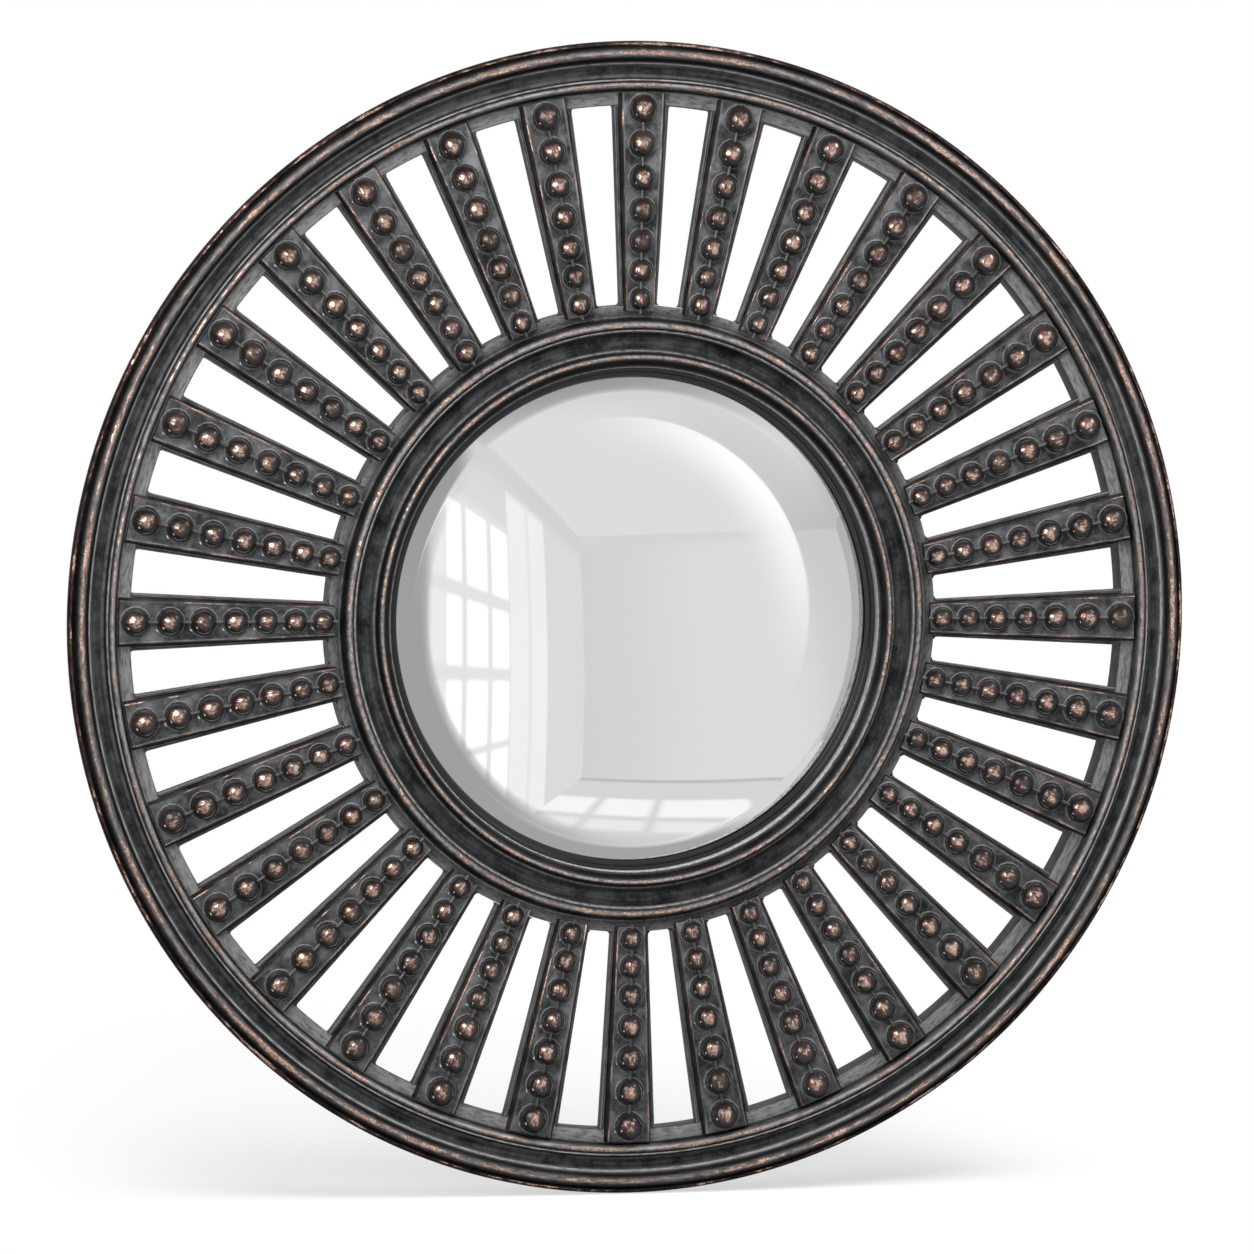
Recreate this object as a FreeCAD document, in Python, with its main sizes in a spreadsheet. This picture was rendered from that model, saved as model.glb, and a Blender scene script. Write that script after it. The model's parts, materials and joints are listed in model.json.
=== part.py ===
"""Convex butlers mirror: a round openwork frame of two moulded rings joined by thirty-two beaded spokes.

Millimetres. The wall is the plane y = 0 and the mirror looks along -Y, with +Z up. The origin is on the wall,
behind the centre of the glass. A height on the frame is measured forwards from the frame's flat back.
"""

import FreeCAD, Part
import math
import os

import Sketcher

SPOKES = 32
CLIPS = 6
SPACER_BLOCKS = 8
LOOP_SIDES = 8

# Each driving size: its name, its value in millimetres (or degrees) and what it measures.
SIZES = (
    ("outside_diameter", 900, "across the rim"),
    ("wall_gap", 8, "wall to the flat back of the frame"),
    ("fit_clearance", 0.3, "around a piece that drops into another"),
    # outer ring, from the rim inwards
    ("rim_width", 5, "sloping rim outside the torus"),
    ("rim_height", 23, "height of the rim's edge, the widest line of the frame"),
    ("rim_undercut", 6, "how far the side draws in towards the back"),
    ("torus_width", 12, "the large outer moulding"),
    ("torus_flat", 5, "the torus's crest"),
    ("torus_height", 31, "height of the torus's crest"),
    ("outer_cove_width", 12.5, "hollow between the torus and the astragal"),
    ("outer_cove_height", 22, "height of the hollow at the torus"),
    ("outer_astragal_width", 8.2, "the small moulding beside the spokes"),
    ("outer_astragal_flat", 4, "the small moulding's crest"),
    ("outer_astragal_height", 28, "height of the small moulding's crest"),
    ("outer_ledge_width", 12.3, "flat that carries the spokes' outer ends"),
    ("ledge_height", 20, "height of both ledges"),
    # inner ring, from the glass outwards
    ("sight_radius", 189.6, "visible radius of the glass"),
    ("slip_width", 7.1, "visible width of the black slip"),
    ("fascia_width", 8, "slope from the slip up to the ridge"),
    ("fascia_height", 26, "height of the fascia at the slip"),
    ("ridge_height", 33, "height of the ridge round the glass"),
    ("ridge_foot_width", 3.5, "the ridge's outer slope"),
    ("inner_cove_height", 25, "height of the hollow at the ridge"),
    ("inner_cove_width", 17.5, "hollow between the ridge and the astragal"),
    ("inner_astragal_width", 8.6, "the moulding beside the spokes"),
    ("inner_astragal_flat", 4, "that moulding's crest"),
    ("inner_astragal_height", 30, "height of that moulding's crest"),
    ("inner_ledge_width", 10.6, "flat that carries the spokes' inner ends"),
    ("rebate_depth", 18, "from the back of the inner ring to the underside of its lip"),
    ("lip_width", 5.3, "how far the lip covers the slip's flange"),
    # what the rebate holds
    ("slip_edge", 1.6, "thickness of the slip's edge at the glass"),
    ("slip_slope", 2, "rise of the slip from its edge to the lip"),
    ("glass_overlap", 9, "glass behind the slip, all round"),
    ("glass_rise", 22, "how far the convex glass stands out in the middle"),
    ("glass_thickness", 3, "mirror glass"),
    ("board_thickness", 3, "hardboard back"),
    ("block_width", 10, "foam block, radially"),
    ("block_length", 24, "foam block, along the ring"),
    ("clip_length", 26, "retaining clip, radially"),
    ("clip_width", 12, "retaining clip, across"),
    ("clip_thickness", 1.5, "retaining clip"),
    ("clip_lap", 8, "how far the clip covers the board"),
    ("clip_screw_inset", 8, "clip's outer end to its screw"),
    ("screw_length", 12, "shank of every screw, below its head"),
    ("screw_shank", 3.2, "shank of every screw, across corners"),
    ("screw_head", 7, "head of every screw, across corners"),
    ("screw_head_height", 1.8, "head of every screw"),
    # spokes
    ("spoke_outer_width", 44.4, "spoke where it meets the outer ring"),
    ("spoke_inner_width", 29.6, "spoke where it meets the inner ring"),
    ("spoke_thickness", 8, "spoke between the rings, below its panel"),
    ("panel_outer_width", 38.2, "foot of the raised panel, outer end"),
    ("panel_inner_width", 26.6, "foot of the raised panel, inner end"),
    ("panel_thickness", 5, "raised panel"),
    ("panel_slope_width", 2.4, "slope beside the panel's top, across"),
    ("panel_slope_height", 4, "slope beside the panel's top, downwards"),
    ("panel_outer_lap", 9.4, "panel on the outer ring's ledge"),
    ("panel_inner_lap", 4.6, "panel on the inner ring's ledge"),
    # beads, from the outermost row inwards
    ("first_bead_inset", 2.8, "outer ring's window edge to the largest bead's centre"),
    ("last_bead_inset", 4.9, "inner ring's window edge to the smallest bead's centre"),
    ("largest_bead", 21.9, "across the beads of the outermost row"),
    ("smallest_bead", 17.2, "across the beads of the innermost row"),
    ("bead_gap", 5, "between neighbouring beads, about"),
    ("pitch_taper", 5.2, "how much closer the last beads stand than the first"),
    ("bead_rise_ratio", 0.92, "a bead's height over its radius"),
    ("bead_crown_ratio", 0.62, "the bead's flat top over its radius"),
    # hangers and bumpers
    ("hanger_angle", 45, "hangers, from the top of the frame, degrees"),
    ("strap_width", 12, "hanger strap"),
    ("strap_length", 40, "hanger strap, below its pivot"),
    ("strap_thickness", 1.2, "hanger strap"),
    ("ring_bar", 2.4, "square bar of the hanging ring"),
    ("ring_width", 27, "hanging ring along its pivot"),
    ("ring_drop", 22, "hanging ring below its pivot"),
    ("ring_nose", 9, "the hanging ring's narrow end"),
    ("upper_screw_drop", 12, "pivot to the screw inside the ring"),
    ("lower_screw_drop", 34, "pivot to the screw below the ring"),
    ("bumper_side", 16, "square wall bumper"),
    ("bumper_angle", 28, "bumpers, from the bottom of the frame, degrees"),
)

doc = FreeCAD.newDocument("butlers_mirror")
sheet = doc.addObject("Spreadsheet::Sheet", "dims")
for row, (alias, size, note) in enumerate(SIZES, start=1):
    sheet.set(f"A{row}", note)
    sheet.set(f"B{row}", str(size))
    sheet.setAlias(f"B{row}", alias)
doc.recompute()


def value(expression):
    """The number that an expression on the sheet stands for now."""
    return float(sheet.evalExpression(str(expression)))


# Radii of the outer ring, rim inwards, and of the inner ring, glass outwards, as expressions on the sheet.
RIM = "(dims.outside_diameter / 2)"
TORUS_OUT = f"({RIM} - dims.rim_width)"
TORUS_IN = f"({TORUS_OUT} - dims.torus_width)"
OUTER_ASTRAGAL_OUT = f"({TORUS_IN} - dims.outer_cove_width)"
OUTER_ASTRAGAL_IN = f"({OUTER_ASTRAGAL_OUT} - dims.outer_astragal_width)"
WINDOW_OUT = f"({OUTER_ASTRAGAL_IN} - dims.outer_ledge_width)"
LIP_EDGE = "(dims.sight_radius + dims.slip_width)"
RIDGE = f"({LIP_EDGE} + dims.fascia_width)"
RIDGE_FOOT = f"({RIDGE} + dims.ridge_foot_width)"
INNER_ASTRAGAL_IN = f"({RIDGE_FOOT} + dims.inner_cove_width)"
INNER_ASTRAGAL_OUT = f"({INNER_ASTRAGAL_IN} + dims.inner_astragal_width)"
WINDOW_IN = f"({INNER_ASTRAGAL_OUT} + dims.inner_ledge_width)"
REBATE = f"({LIP_EDGE} + dims.lip_width)"

# The glass is a shell between two spheres on one centre. Heights are those of its front face.
GLASS_RADIUS = "(dims.sight_radius + dims.glass_overlap)"
SPHERE = f"(({GLASS_RADIUS} ^ 2 + dims.glass_rise ^ 2) / (2 * dims.glass_rise))"
RISE_AT_SIGHT = f"(sqrt({SPHERE} ^ 2 - dims.sight_radius ^ 2) - {SPHERE} + dims.glass_rise)"
SLIP_BACK = "(dims.rebate_depth - dims.slip_slope - dims.slip_edge)"
GLASS_EDGE = f"({SLIP_BACK} - dims.fit_clearance - {RISE_AT_SIGHT})"
BACK_SPHERE = f"({SPHERE} - dims.glass_thickness)"
GLASS_BACK_EDGE = (
    f"({GLASS_EDGE} + dims.glass_rise - {SPHERE} + sqrt({BACK_SPHERE} ^ 2 - {GLASS_RADIUS} ^ 2))"
)


def depth(height):
    """Where a height on the frame lies along Y."""
    return f"-(dims.wall_gap + {height})"


def plane_of(body, role):
    return next(feature for feature in body.Origin.OriginFeatures if feature.Role == role)


def new_body(label):
    body = doc.addObject("PartDesign::Body", label)
    body.Label = label
    return body


def outline(body, name, role, corners, height="0"):
    """A closed outline of straight sides. Each corner's two coordinates are expressions on the sheet."""
    sketch = body.newObject("Sketcher::SketchObject", name)
    sketch.AttachmentSupport = (plane_of(body, role), [""])
    sketch.MapMode = "FlatFace"
    if height != "0":
        sketch.setExpression(".AttachmentOffset.Base.z", height)
    points = [FreeCAD.Vector(value(x), value(y), 0) for x, y in corners]
    for number, point in enumerate(points):
        sketch.addGeometry(Part.LineSegment(point, points[(number + 1) % len(points)]), False)
    for number in range(len(points)):
        following = (number + 1) % len(points)
        sketch.addConstraint(Sketcher.Constraint("Coincident", number, 2, following, 1))
    for number, corner in enumerate(corners):
        for kind, place in zip(("DistanceX", "DistanceY"), corner):
            rule = Sketcher.Constraint(kind, -1, 1, number, 1, value(place))
            sketch.setExpression(f"Constraints[{sketch.addConstraint(rule)}]", place)
    return sketch


def disc(body, name, role, radius, centre, height="0"):
    """A circle whose radius and centre are expressions on the sheet."""
    sketch = body.newObject("Sketcher::SketchObject", name)
    sketch.AttachmentSupport = (plane_of(body, role), [""])
    sketch.MapMode = "FlatFace"
    if height != "0":
        sketch.setExpression(".AttachmentOffset.Base.z", height)
    middle = FreeCAD.Vector(value(centre[0]), value(centre[1]), 0)
    sketch.addGeometry(Part.Circle(middle, FreeCAD.Vector(0, 0, 1), value(radius)), False)
    rule = Sketcher.Constraint("Radius", 0, value(radius))
    sketch.setExpression(f"Constraints[{sketch.addConstraint(rule)}]", radius)
    for kind, place in zip(("DistanceX", "DistanceY"), centre):
        rule = Sketcher.Constraint(kind, -1, 1, 0, 3, value(place))
        sketch.setExpression(f"Constraints[{sketch.addConstraint(rule)}]", place)
    return sketch


def polygon(count, inradius):
    """Corners of a regular polygon about the origin, by its inradius, with a flat side up."""
    reach = f"({inradius} / cos({180 / count} deg))"
    turns = [360 * (number + 0.5) / count for number in range(count)]
    return [(f"{reach} * cos({turn} deg)", f"{reach} * sin({turn} deg)") for turn in turns]


def turned(label, corners):
    """A ring turned about the mirror's axis from an outline of (radius, height) corners."""
    body = new_body(label)
    section = outline(body, f"{label}_section", "XY_Plane", [(r, depth(h)) for r, h in corners])
    ring = body.newObject("PartDesign::Revolution", f"{label}_turning")
    ring.Profile = section
    ring.ReferenceAxis = (section, ["V_Axis"])
    ring.Angle = 360
    return body


def pad(body, sketch, name, length, middle=False):
    feature = body.newObject("PartDesign::Pad", name)
    feature.Profile = sketch
    feature.setExpression("Length", length)
    feature.Midplane = middle
    return feature


# --- outer ring -----------------------------------------------------------------------------------------------------
torus_shoulder = "((dims.torus_width - dims.torus_flat) / 2)"
outer_shoulder = "((dims.outer_astragal_width - dims.outer_astragal_flat) / 2)"
outer_ring = turned(
    "outer_ring",
    [
        (WINDOW_OUT, "0"),
        (WINDOW_OUT, "dims.ledge_height"),
        (OUTER_ASTRAGAL_IN, "dims.ledge_height"),
        (f"{OUTER_ASTRAGAL_IN} + {outer_shoulder}", "dims.outer_astragal_height"),
        (f"{OUTER_ASTRAGAL_OUT} - {outer_shoulder}", "dims.outer_astragal_height"),
        (TORUS_IN, "dims.outer_cove_height"),
        (f"{TORUS_IN} + {torus_shoulder}", "dims.torus_height"),
        (f"{TORUS_OUT} - {torus_shoulder}", "dims.torus_height"),
        (RIM, "dims.rim_height"),
        (f"{RIM} - dims.rim_undercut", "0"),
    ],
)

# --- inner ring -----------------------------------------------------------------------------------------------------
inner_shoulder = "((dims.inner_astragal_width - dims.inner_astragal_flat) / 2)"
inner_ring = turned(
    "inner_ring",
    [
        (REBATE, "0"),
        (REBATE, "dims.rebate_depth"),
        (LIP_EDGE, "dims.rebate_depth"),
        (LIP_EDGE, "dims.fascia_height"),
        (RIDGE, "dims.ridge_height"),
        (RIDGE_FOOT, "dims.inner_cove_height"),
        (f"{INNER_ASTRAGAL_IN} + {inner_shoulder}", "dims.inner_astragal_height"),
        (f"{INNER_ASTRAGAL_OUT} - {inner_shoulder}", "dims.inner_astragal_height"),
        (INNER_ASTRAGAL_OUT, "dims.ledge_height"),
        (WINDOW_IN, "dims.ledge_height"),
        (WINDOW_IN, "0"),
    ],
)

# --- what the inner ring's rebate holds -----------------------------------------------------------------------------
slip_ring = turned(
    "slip_ring",
    [
        ("dims.sight_radius", SLIP_BACK),
        ("dims.sight_radius", f"{SLIP_BACK} + dims.slip_edge"),
        (LIP_EDGE, "dims.rebate_depth"),
        (f"{REBATE} - dims.fit_clearance", "dims.rebate_depth"),
        (f"{REBATE} - dims.fit_clearance", SLIP_BACK),
    ],
)

# The convex glass: the space between two spheres, trimmed to a round.
glass_centre = depth(f"({GLASS_EDGE} + dims.glass_rise - {SPHERE})")
front_sphere = doc.addObject("Part::Sphere", "glass_front")
front_sphere.setExpression("Radius", SPHERE)
front_sphere.setExpression("Placement.Base.y", glass_centre)
back_sphere = doc.addObject("Part::Sphere", "glass_back")
back_sphere.setExpression("Radius", BACK_SPHERE)
back_sphere.setExpression("Placement.Base.y", glass_centre)
glass_sheet = doc.addObject("Part::Cut", "glass_sheet")
glass_sheet.Base = front_sphere
glass_sheet.Tool = back_sphere
glass_round = doc.addObject("Part::Cylinder", "glass_round")
glass_round.Placement.Rotation = FreeCAD.Rotation(FreeCAD.Vector(1, 0, 0), 90)
glass_round.setExpression("Radius", GLASS_RADIUS)
glass_round.setExpression("Height", "dims.glass_rise + dims.rebate_depth")
glass_round.setExpression("Placement.Base.y", depth("0"))
mirror_glass = doc.addObject("Part::Common", "mirror_glass")
mirror_glass.Base = glass_sheet
mirror_glass.Tool = glass_round

back_board = new_body("back_board")
board_outline = disc(
    back_board, "board_outline", "XZ_Plane", f"{REBATE} - dims.fit_clearance", ("0", "0"), "dims.wall_gap"
)
pad(back_board, board_outline, "board", "dims.board_thickness")


def rectangle(inner, outer, width):
    """Corners of a rectangle across the +Z axis, from one radius to another."""
    half = f"({width} / 2)"
    return [(f"-{half}", inner), (half, inner), (half, outer), (f"-{half}", outer)]


def around(count, start=0.0):
    """Turns about the mirror's axis, clockwise seen from the front, evenly spaced."""
    axis = FreeCAD.Vector(0, 1, 0)
    for number in range(count):
        yield FreeCAD.Placement(FreeCAD.Vector(), FreeCAD.Rotation(axis, start + 360 * number / count))


def group(label, pattern, placements):
    """One node of separate equal pieces, copies of a pattern piece."""
    doc.recompute()
    copies = []
    for placement in placements:
        copy = pattern.Shape.copy()
        copy.Placement = placement.multiply(copy.Placement)
        copies.append(copy)
    node = doc.addObject("Part::Feature", label)
    node.Shape = Part.makeCompound(copies)
    return node


# Foam blocks press the glass forwards from the board. Each stands under the glass's edge.
block = new_body("spacer_block")
block_outline = outline(
    block,
    "block_outline",
    "XZ_Plane",
    rectangle(f"{GLASS_RADIUS} - dims.block_width", GLASS_RADIUS, "dims.block_length"),
    "dims.wall_gap + dims.board_thickness",
)
pad(block, block_outline, "block", f"{GLASS_BACK_EDGE} - dims.board_thickness - dims.fit_clearance")
spacer_blocks = group("spacer_blocks", block, around(SPACER_BLOCKS))

# Clips on the back of the ring lap over the board. Each has a punched hole for its screw.
clip = new_body("retaining_clip")
clip_inner = f"({REBATE} - dims.clip_lap)"
clip_outline = outline(
    clip,
    "clip_outline",
    "XZ_Plane",
    rectangle(clip_inner, f"{clip_inner} + dims.clip_length", "dims.clip_width"),
    "dims.wall_gap - dims.clip_thickness",
)
pad(clip, clip_outline, "clip_plate", "dims.clip_thickness")


def punched(body, name, centre_height, plane_height, thickness):
    """A square screw hole on the body's middle line, through a plate that lies on the plane."""
    side = "(dims.screw_shank + 2 * dims.fit_clearance)"
    corners = rectangle(f"{centre_height} - {side} / 2", f"{centre_height} + {side} / 2", side)
    hole = body.newObject("PartDesign::Pocket", name)
    hole.Profile = outline(body, f"{name}_outline", "XZ_Plane", corners, plane_height)
    hole.setExpression("Length", thickness)
    hole.Reversed = True
    return hole


clip_screw_radius = f"({clip_inner} + dims.clip_length - dims.clip_screw_inset)"
punched(clip, "clip_hole", clip_screw_radius, "dims.wall_gap - dims.clip_thickness", "dims.clip_thickness")
board_clips = group("board_clips", clip, around(CLIPS))

# A screw stands at its own origin: head towards the wall, shank forwards.
screw_head = doc.addObject("Part::Prism", "screw_head")
screw_head.Polygon = 6
screw_head.Placement.Rotation = FreeCAD.Rotation(FreeCAD.Vector(1, 0, 0), 90)
screw_head.setExpression("Circumradius", "dims.screw_head / 2")
screw_head.setExpression("Height", "dims.screw_head_height")
screw_head.setExpression("Placement.Base.y", "dims.screw_head_height")
screw_shank = doc.addObject("Part::Prism", "screw_shank")
screw_shank.Polygon = 6
screw_shank.Placement.Rotation = FreeCAD.Rotation(FreeCAD.Vector(1, 0, 0), 90)
screw_shank.setExpression("Circumradius", "dims.screw_shank / 2")
screw_shank.setExpression("Height", "dims.screw_length")
screw = doc.addObject("Part::Fuse", "screw")
screw.Base = screw_head
screw.Tool = screw_shank


def clip_screw_places():
    seat = FreeCAD.Vector(0, value("dims.clip_thickness - dims.wall_gap"), value(clip_screw_radius))
    for turn in around(CLIPS):
        yield turn.multiply(FreeCAD.Placement(seat, FreeCAD.Rotation()))


clip_screws = group("clip_screws", screw, clip_screw_places())

# --- spokes ---------------------------------------------------------------------------------------------------------
SPOKE_OUT = f"sqrt(({WINDOW_OUT} - dims.fit_clearance) ^ 2 - (dims.spoke_outer_width / 2) ^ 2)"
SPOKE_IN = f"({WINDOW_IN} + dims.fit_clearance)"


def wedge(inner, inner_width, outer, outer_width):
    """Corners of a symmetric wedge that widens along +Z."""
    return [
        (f"-{inner_width} / 2", inner),
        (f"{inner_width} / 2", inner),
        (f"{outer_width} / 2", outer),
        (f"-{outer_width} / 2", outer),
    ]


def long_top_edges(shape):
    """Names of the two edges along the front of a bar that lies along +Z."""
    front = shape.BoundBox.YMin
    names = []
    for number, edge in enumerate(shape.Edges, start=1):
        ends = [vertex.Point for vertex in edge.Vertexes]
        along = abs(ends[1].z - ends[0].z) > abs(ends[1].x - ends[0].x)
        if along and all(abs(end.y - front) < Part.Precision.confusion() for end in ends):
            names.append(f"Edge{number}")
    return names


def make_spoke(label, turn):
    """A tapered bar between the rings under a raised panel, whose ends lap on both ledges."""
    spoke = new_body(label)
    bar = outline(
        spoke,
        f"{label}_bar_outline",
        "XZ_Plane",
        wedge(SPOKE_IN, "dims.spoke_inner_width", SPOKE_OUT, "dims.spoke_outer_width"),
        "dims.wall_gap + dims.ledge_height - dims.spoke_thickness",
    )
    pad(spoke, bar, f"{label}_bar", "dims.spoke_thickness")
    panel = outline(
        spoke,
        f"{label}_panel_outline",
        "XZ_Plane",
        wedge(
            f"({WINDOW_IN} - dims.panel_inner_lap)",
            "dims.panel_inner_width",
            f"({WINDOW_OUT} + dims.panel_outer_lap)",
            "dims.panel_outer_width",
        ),
        "dims.wall_gap + dims.ledge_height",
    )
    raised = pad(spoke, panel, f"{label}_panel", "dims.panel_thickness")
    doc.recompute([raised])
    slopes = spoke.newObject("PartDesign::Chamfer", f"{label}_slopes")
    slopes.Base = (raised, long_top_edges(raised.Shape))
    slopes.ChamferType = "Two distances"
    slopes.setExpression("Size", "dims.panel_slope_width")
    slopes.setExpression("Size2", "dims.panel_slope_height")
    spoke.Placement = turn
    return spoke


spokes = [make_spoke(f"spoke_{number:02d}", turn) for number, turn in enumerate(around(SPOKES), start=1)]

# --- beads ----------------------------------------------------------------------------------------------------------
FIRST_BEAD = f"({WINDOW_OUT} - dims.first_bead_inset)"
LAST_BEAD = f"({WINDOW_IN} + dims.last_bead_inset)"
BEAD_SEAT = "(dims.ledge_height + dims.panel_thickness)"


def bead_places():
    """Radius of each row on the frame and of its beads. As many rows as the spoke has room for, at a pitch and a
    bead size that shrink evenly from the rim inwards."""
    length = value(f"{FIRST_BEAD} - {LAST_BEAD}")
    steps = round(length / value("(dims.largest_bead + dims.smallest_bead) / 2 + dims.bead_gap"))
    change = value("dims.pitch_taper") / (steps - 1)
    radius = value(FIRST_BEAD)
    for row in range(steps + 1):
        shrinkage = value("(dims.largest_bead - dims.smallest_bead) / 2") * row / steps
        yield radius, value("dims.largest_bead / 2") - shrinkage
        radius -= length / steps + change * ((steps - 1) / 2 - row)


def bead_shape(radius):
    """A bead in flat facets, kept few for the sake of the two hundred: an eight-sided foot under a square crown."""
    rise = radius * value("dims.bead_rise_ratio")
    crown_radius = radius * value("dims.bead_crown_ratio")

    def corners(count, reach, height):
        for number in range(count):
            angle = 2 * math.pi * (number + 0.5) / count
            yield FreeCAD.Vector(reach * math.cos(angle), -height, reach * math.sin(angle))

    foot = list(corners(8, radius, 0))
    crown = list(corners(4, crown_radius, rise))
    faces = [Part.Face(Part.makePolygon(ring + ring[:1])) for ring in (foot, crown)]
    for side, top in enumerate(crown):
        left, right = foot[2 * side], foot[2 * side + 1]
        beyond = foot[(2 * side + 2) % 8]
        next_top = crown[(side + 1) % 4]
        faces.append(Part.Face(Part.makePolygon([left, right, top, left])))
        faces.append(Part.Face(Part.makePolygon([right, beyond, next_top, top, right])))
    return Part.Solid(Part.Shell(faces))


all_beads = []
for row_radius, bead_radius in bead_places():
    seat = FreeCAD.Vector(0, -value(f"dims.wall_gap + {BEAD_SEAT}"), row_radius)
    for turn in around(SPOKES):
        bead = bead_shape(bead_radius)
        bead.Placement = turn.multiply(FreeCAD.Placement(seat, FreeCAD.Rotation()))
        all_beads.append(bead)
beads = doc.addObject("Part::Feature", "beads")
beads.Shape = Part.makeCompound(all_beads)

# --- hangers and bumpers on the back of the outer ring --------------------------------------------------------------
BACK_MIDDLE = f"(({WINDOW_OUT} + {RIM} - dims.rim_undercut) / 2)"
LOOP_BORE = "(dims.ring_bar / sqrt(2) + dims.fit_clearance)"
LOOP = f"({LOOP_BORE} + dims.strap_thickness)"
PIVOT_Y = f"(dims.fit_clearance + {LOOP} - dims.wall_gap)"
PIVOT_X = f"({BACK_MIDDLE} * sin(dims.hanger_angle * 1 deg))"
PIVOT_Z = f"({BACK_MIDDLE} * cos(dims.hanger_angle * 1 deg) + (dims.strap_length - {LOOP}) / 2)"

# The strap's own frame has its pivot at the origin. Its plate lies on the frame's back.
strap = new_body("hanger_strap")
plate_back = f"(-(dims.fit_clearance + {LOOP}) + dims.strap_thickness)"
plate_outline = outline(
    strap, "strap_outline", "XZ_Plane", rectangle("-dims.strap_length", "0", "dims.strap_width"), f"-{plate_back}"
)
pad(strap, plate_outline, "strap_plate", "dims.strap_thickness")
loop_outline = outline(strap, "loop_outline", "YZ_Plane", polygon(LOOP_SIDES, LOOP))
pad(strap, loop_outline, "loop", "dims.strap_width", middle=True)
bore_outline = outline(strap, "bore_outline", "YZ_Plane", polygon(LOOP_SIDES, LOOP_BORE))
loop_bore = strap.newObject("PartDesign::Pocket", "loop_bore")
loop_bore.Profile = bore_outline
loop_bore.setExpression("Length", "dims.strap_width")
loop_bore.Midplane = True
for name, drop in (("upper_hole", "-dims.upper_screw_drop"), ("lower_hole", "-dims.lower_screw_drop")):
    punched(strap, name, drop, f"-{plate_back}", "dims.strap_thickness")

pivot_left = FreeCAD.Vector(-value(PIVOT_X), value(PIVOT_Y), value(PIVOT_Z))
pivot_right = FreeCAD.Vector(value(PIVOT_X), value(PIVOT_Y), value(PIVOT_Z))
pivots = {"left": pivot_left, "right": pivot_right}
upright = FreeCAD.Rotation()
hanger_straps = group("hanger_straps", strap, [FreeCAD.Placement(pivot, upright) for pivot in pivots.values()])


def hanger_screw_places():
    seat = value("dims.strap_thickness - dims.wall_gap")
    for pivot in pivots.values():
        for drop in (value("dims.upper_screw_drop"), value("dims.lower_screw_drop")):
            yield FreeCAD.Placement(FreeCAD.Vector(pivot.x, seat, pivot.z - drop), upright)


hanger_screws = group("hanger_screws", screw, hanger_screw_places())


def make_hanging_ring(label, side):
    """A flat ring of square bar, wide at its pivot and narrow at its nose. It hangs from its pivot."""
    ring = new_body(label)
    bar = "dims.ring_bar"
    top = f"({bar} / 2)"
    corners = [
        ("-dims.ring_nose / 2", "-dims.ring_drop"),
        ("dims.ring_nose / 2", "-dims.ring_drop"),
        ("dims.ring_width / 2", "-dims.ring_drop / 2"),
        ("dims.ring_width / 2", top),
        ("-dims.ring_width / 2", top),
        ("-dims.ring_width / 2", "-dims.ring_drop / 2"),
    ]
    blank = outline(ring, f"{label}_outline", "XZ_Plane", corners)
    pad(ring, blank, f"{label}_blank", bar, middle=True)
    inner_corners = [
        (f"-dims.ring_nose / 2 + {bar} / 2", f"-dims.ring_drop + {bar}"),
        (f"dims.ring_nose / 2 - {bar} / 2", f"-dims.ring_drop + {bar}"),
        (f"dims.ring_width / 2 - {bar}", f"-dims.ring_drop / 2 + {bar} / 2"),
        (f"dims.ring_width / 2 - {bar}", f"{top} - {bar}"),
        (f"-dims.ring_width / 2 + {bar}", f"{top} - {bar}"),
        (f"-dims.ring_width / 2 + {bar}", f"-dims.ring_drop / 2 + {bar} / 2"),
    ]
    eye = ring.newObject("PartDesign::Pocket", f"{label}_eye")
    eye.Profile = outline(ring, f"{label}_eye_outline", "XZ_Plane", inner_corners)
    eye.setExpression("Length", bar)
    eye.Midplane = True
    ring.setExpression("Placement.Base.x", f"{side} * {PIVOT_X}")
    ring.setExpression("Placement.Base.y", PIVOT_Y)
    ring.setExpression("Placement.Base.z", PIVOT_Z)
    return ring


hanging_rings = [make_hanging_ring("hanging_ring_left", -1), make_hanging_ring("hanging_ring_right", 1)]

bumper = new_body("bumper")
bumper_corners = rectangle(
    f"-{BACK_MIDDLE} - dims.bumper_side / 2", f"-{BACK_MIDDLE} + dims.bumper_side / 2", "dims.bumper_side"
)
pad(bumper, outline(bumper, "bumper_outline", "XZ_Plane", bumper_corners), "bumper_pad", "dims.wall_gap")
bumper_turns = [
    FreeCAD.Placement(FreeCAD.Vector(), FreeCAD.Rotation(FreeCAD.Vector(0, 1, 0), side * value("dims.bumper_angle")))
    for side in (-1, 1)
]
wall_bumpers = group("wall_bumpers", bumper, bumper_turns)

# --- check and write ------------------------------------------------------------------------------------------------
doc.recompute()
failed = [thing.Name for thing in doc.Objects if "Invalid" in thing.State or "Error" in thing.State]
if failed:
    raise RuntimeError(f"failed objects: {failed}")

nodes = [outer_ring, inner_ring, slip_ring, mirror_glass, spacer_blocks, back_board, board_clips, clip_screws]
nodes += spokes + [beads, hanger_straps, hanger_screws, wall_bumpers] + hanging_rings
os.makedirs("parts", exist_ok=True)
for node in nodes:
    if node.Shape.isNull() or not node.Shape.isValid():
        raise RuntimeError(f"bad shape: {node.Label}")
for node in nodes:
    node.Shape.exportStep(f"parts/{node.Label}.step")
    print(node.Label, len(node.Shape.Solids), "solids,", round(node.Shape.Volume), "mm3")
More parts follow.
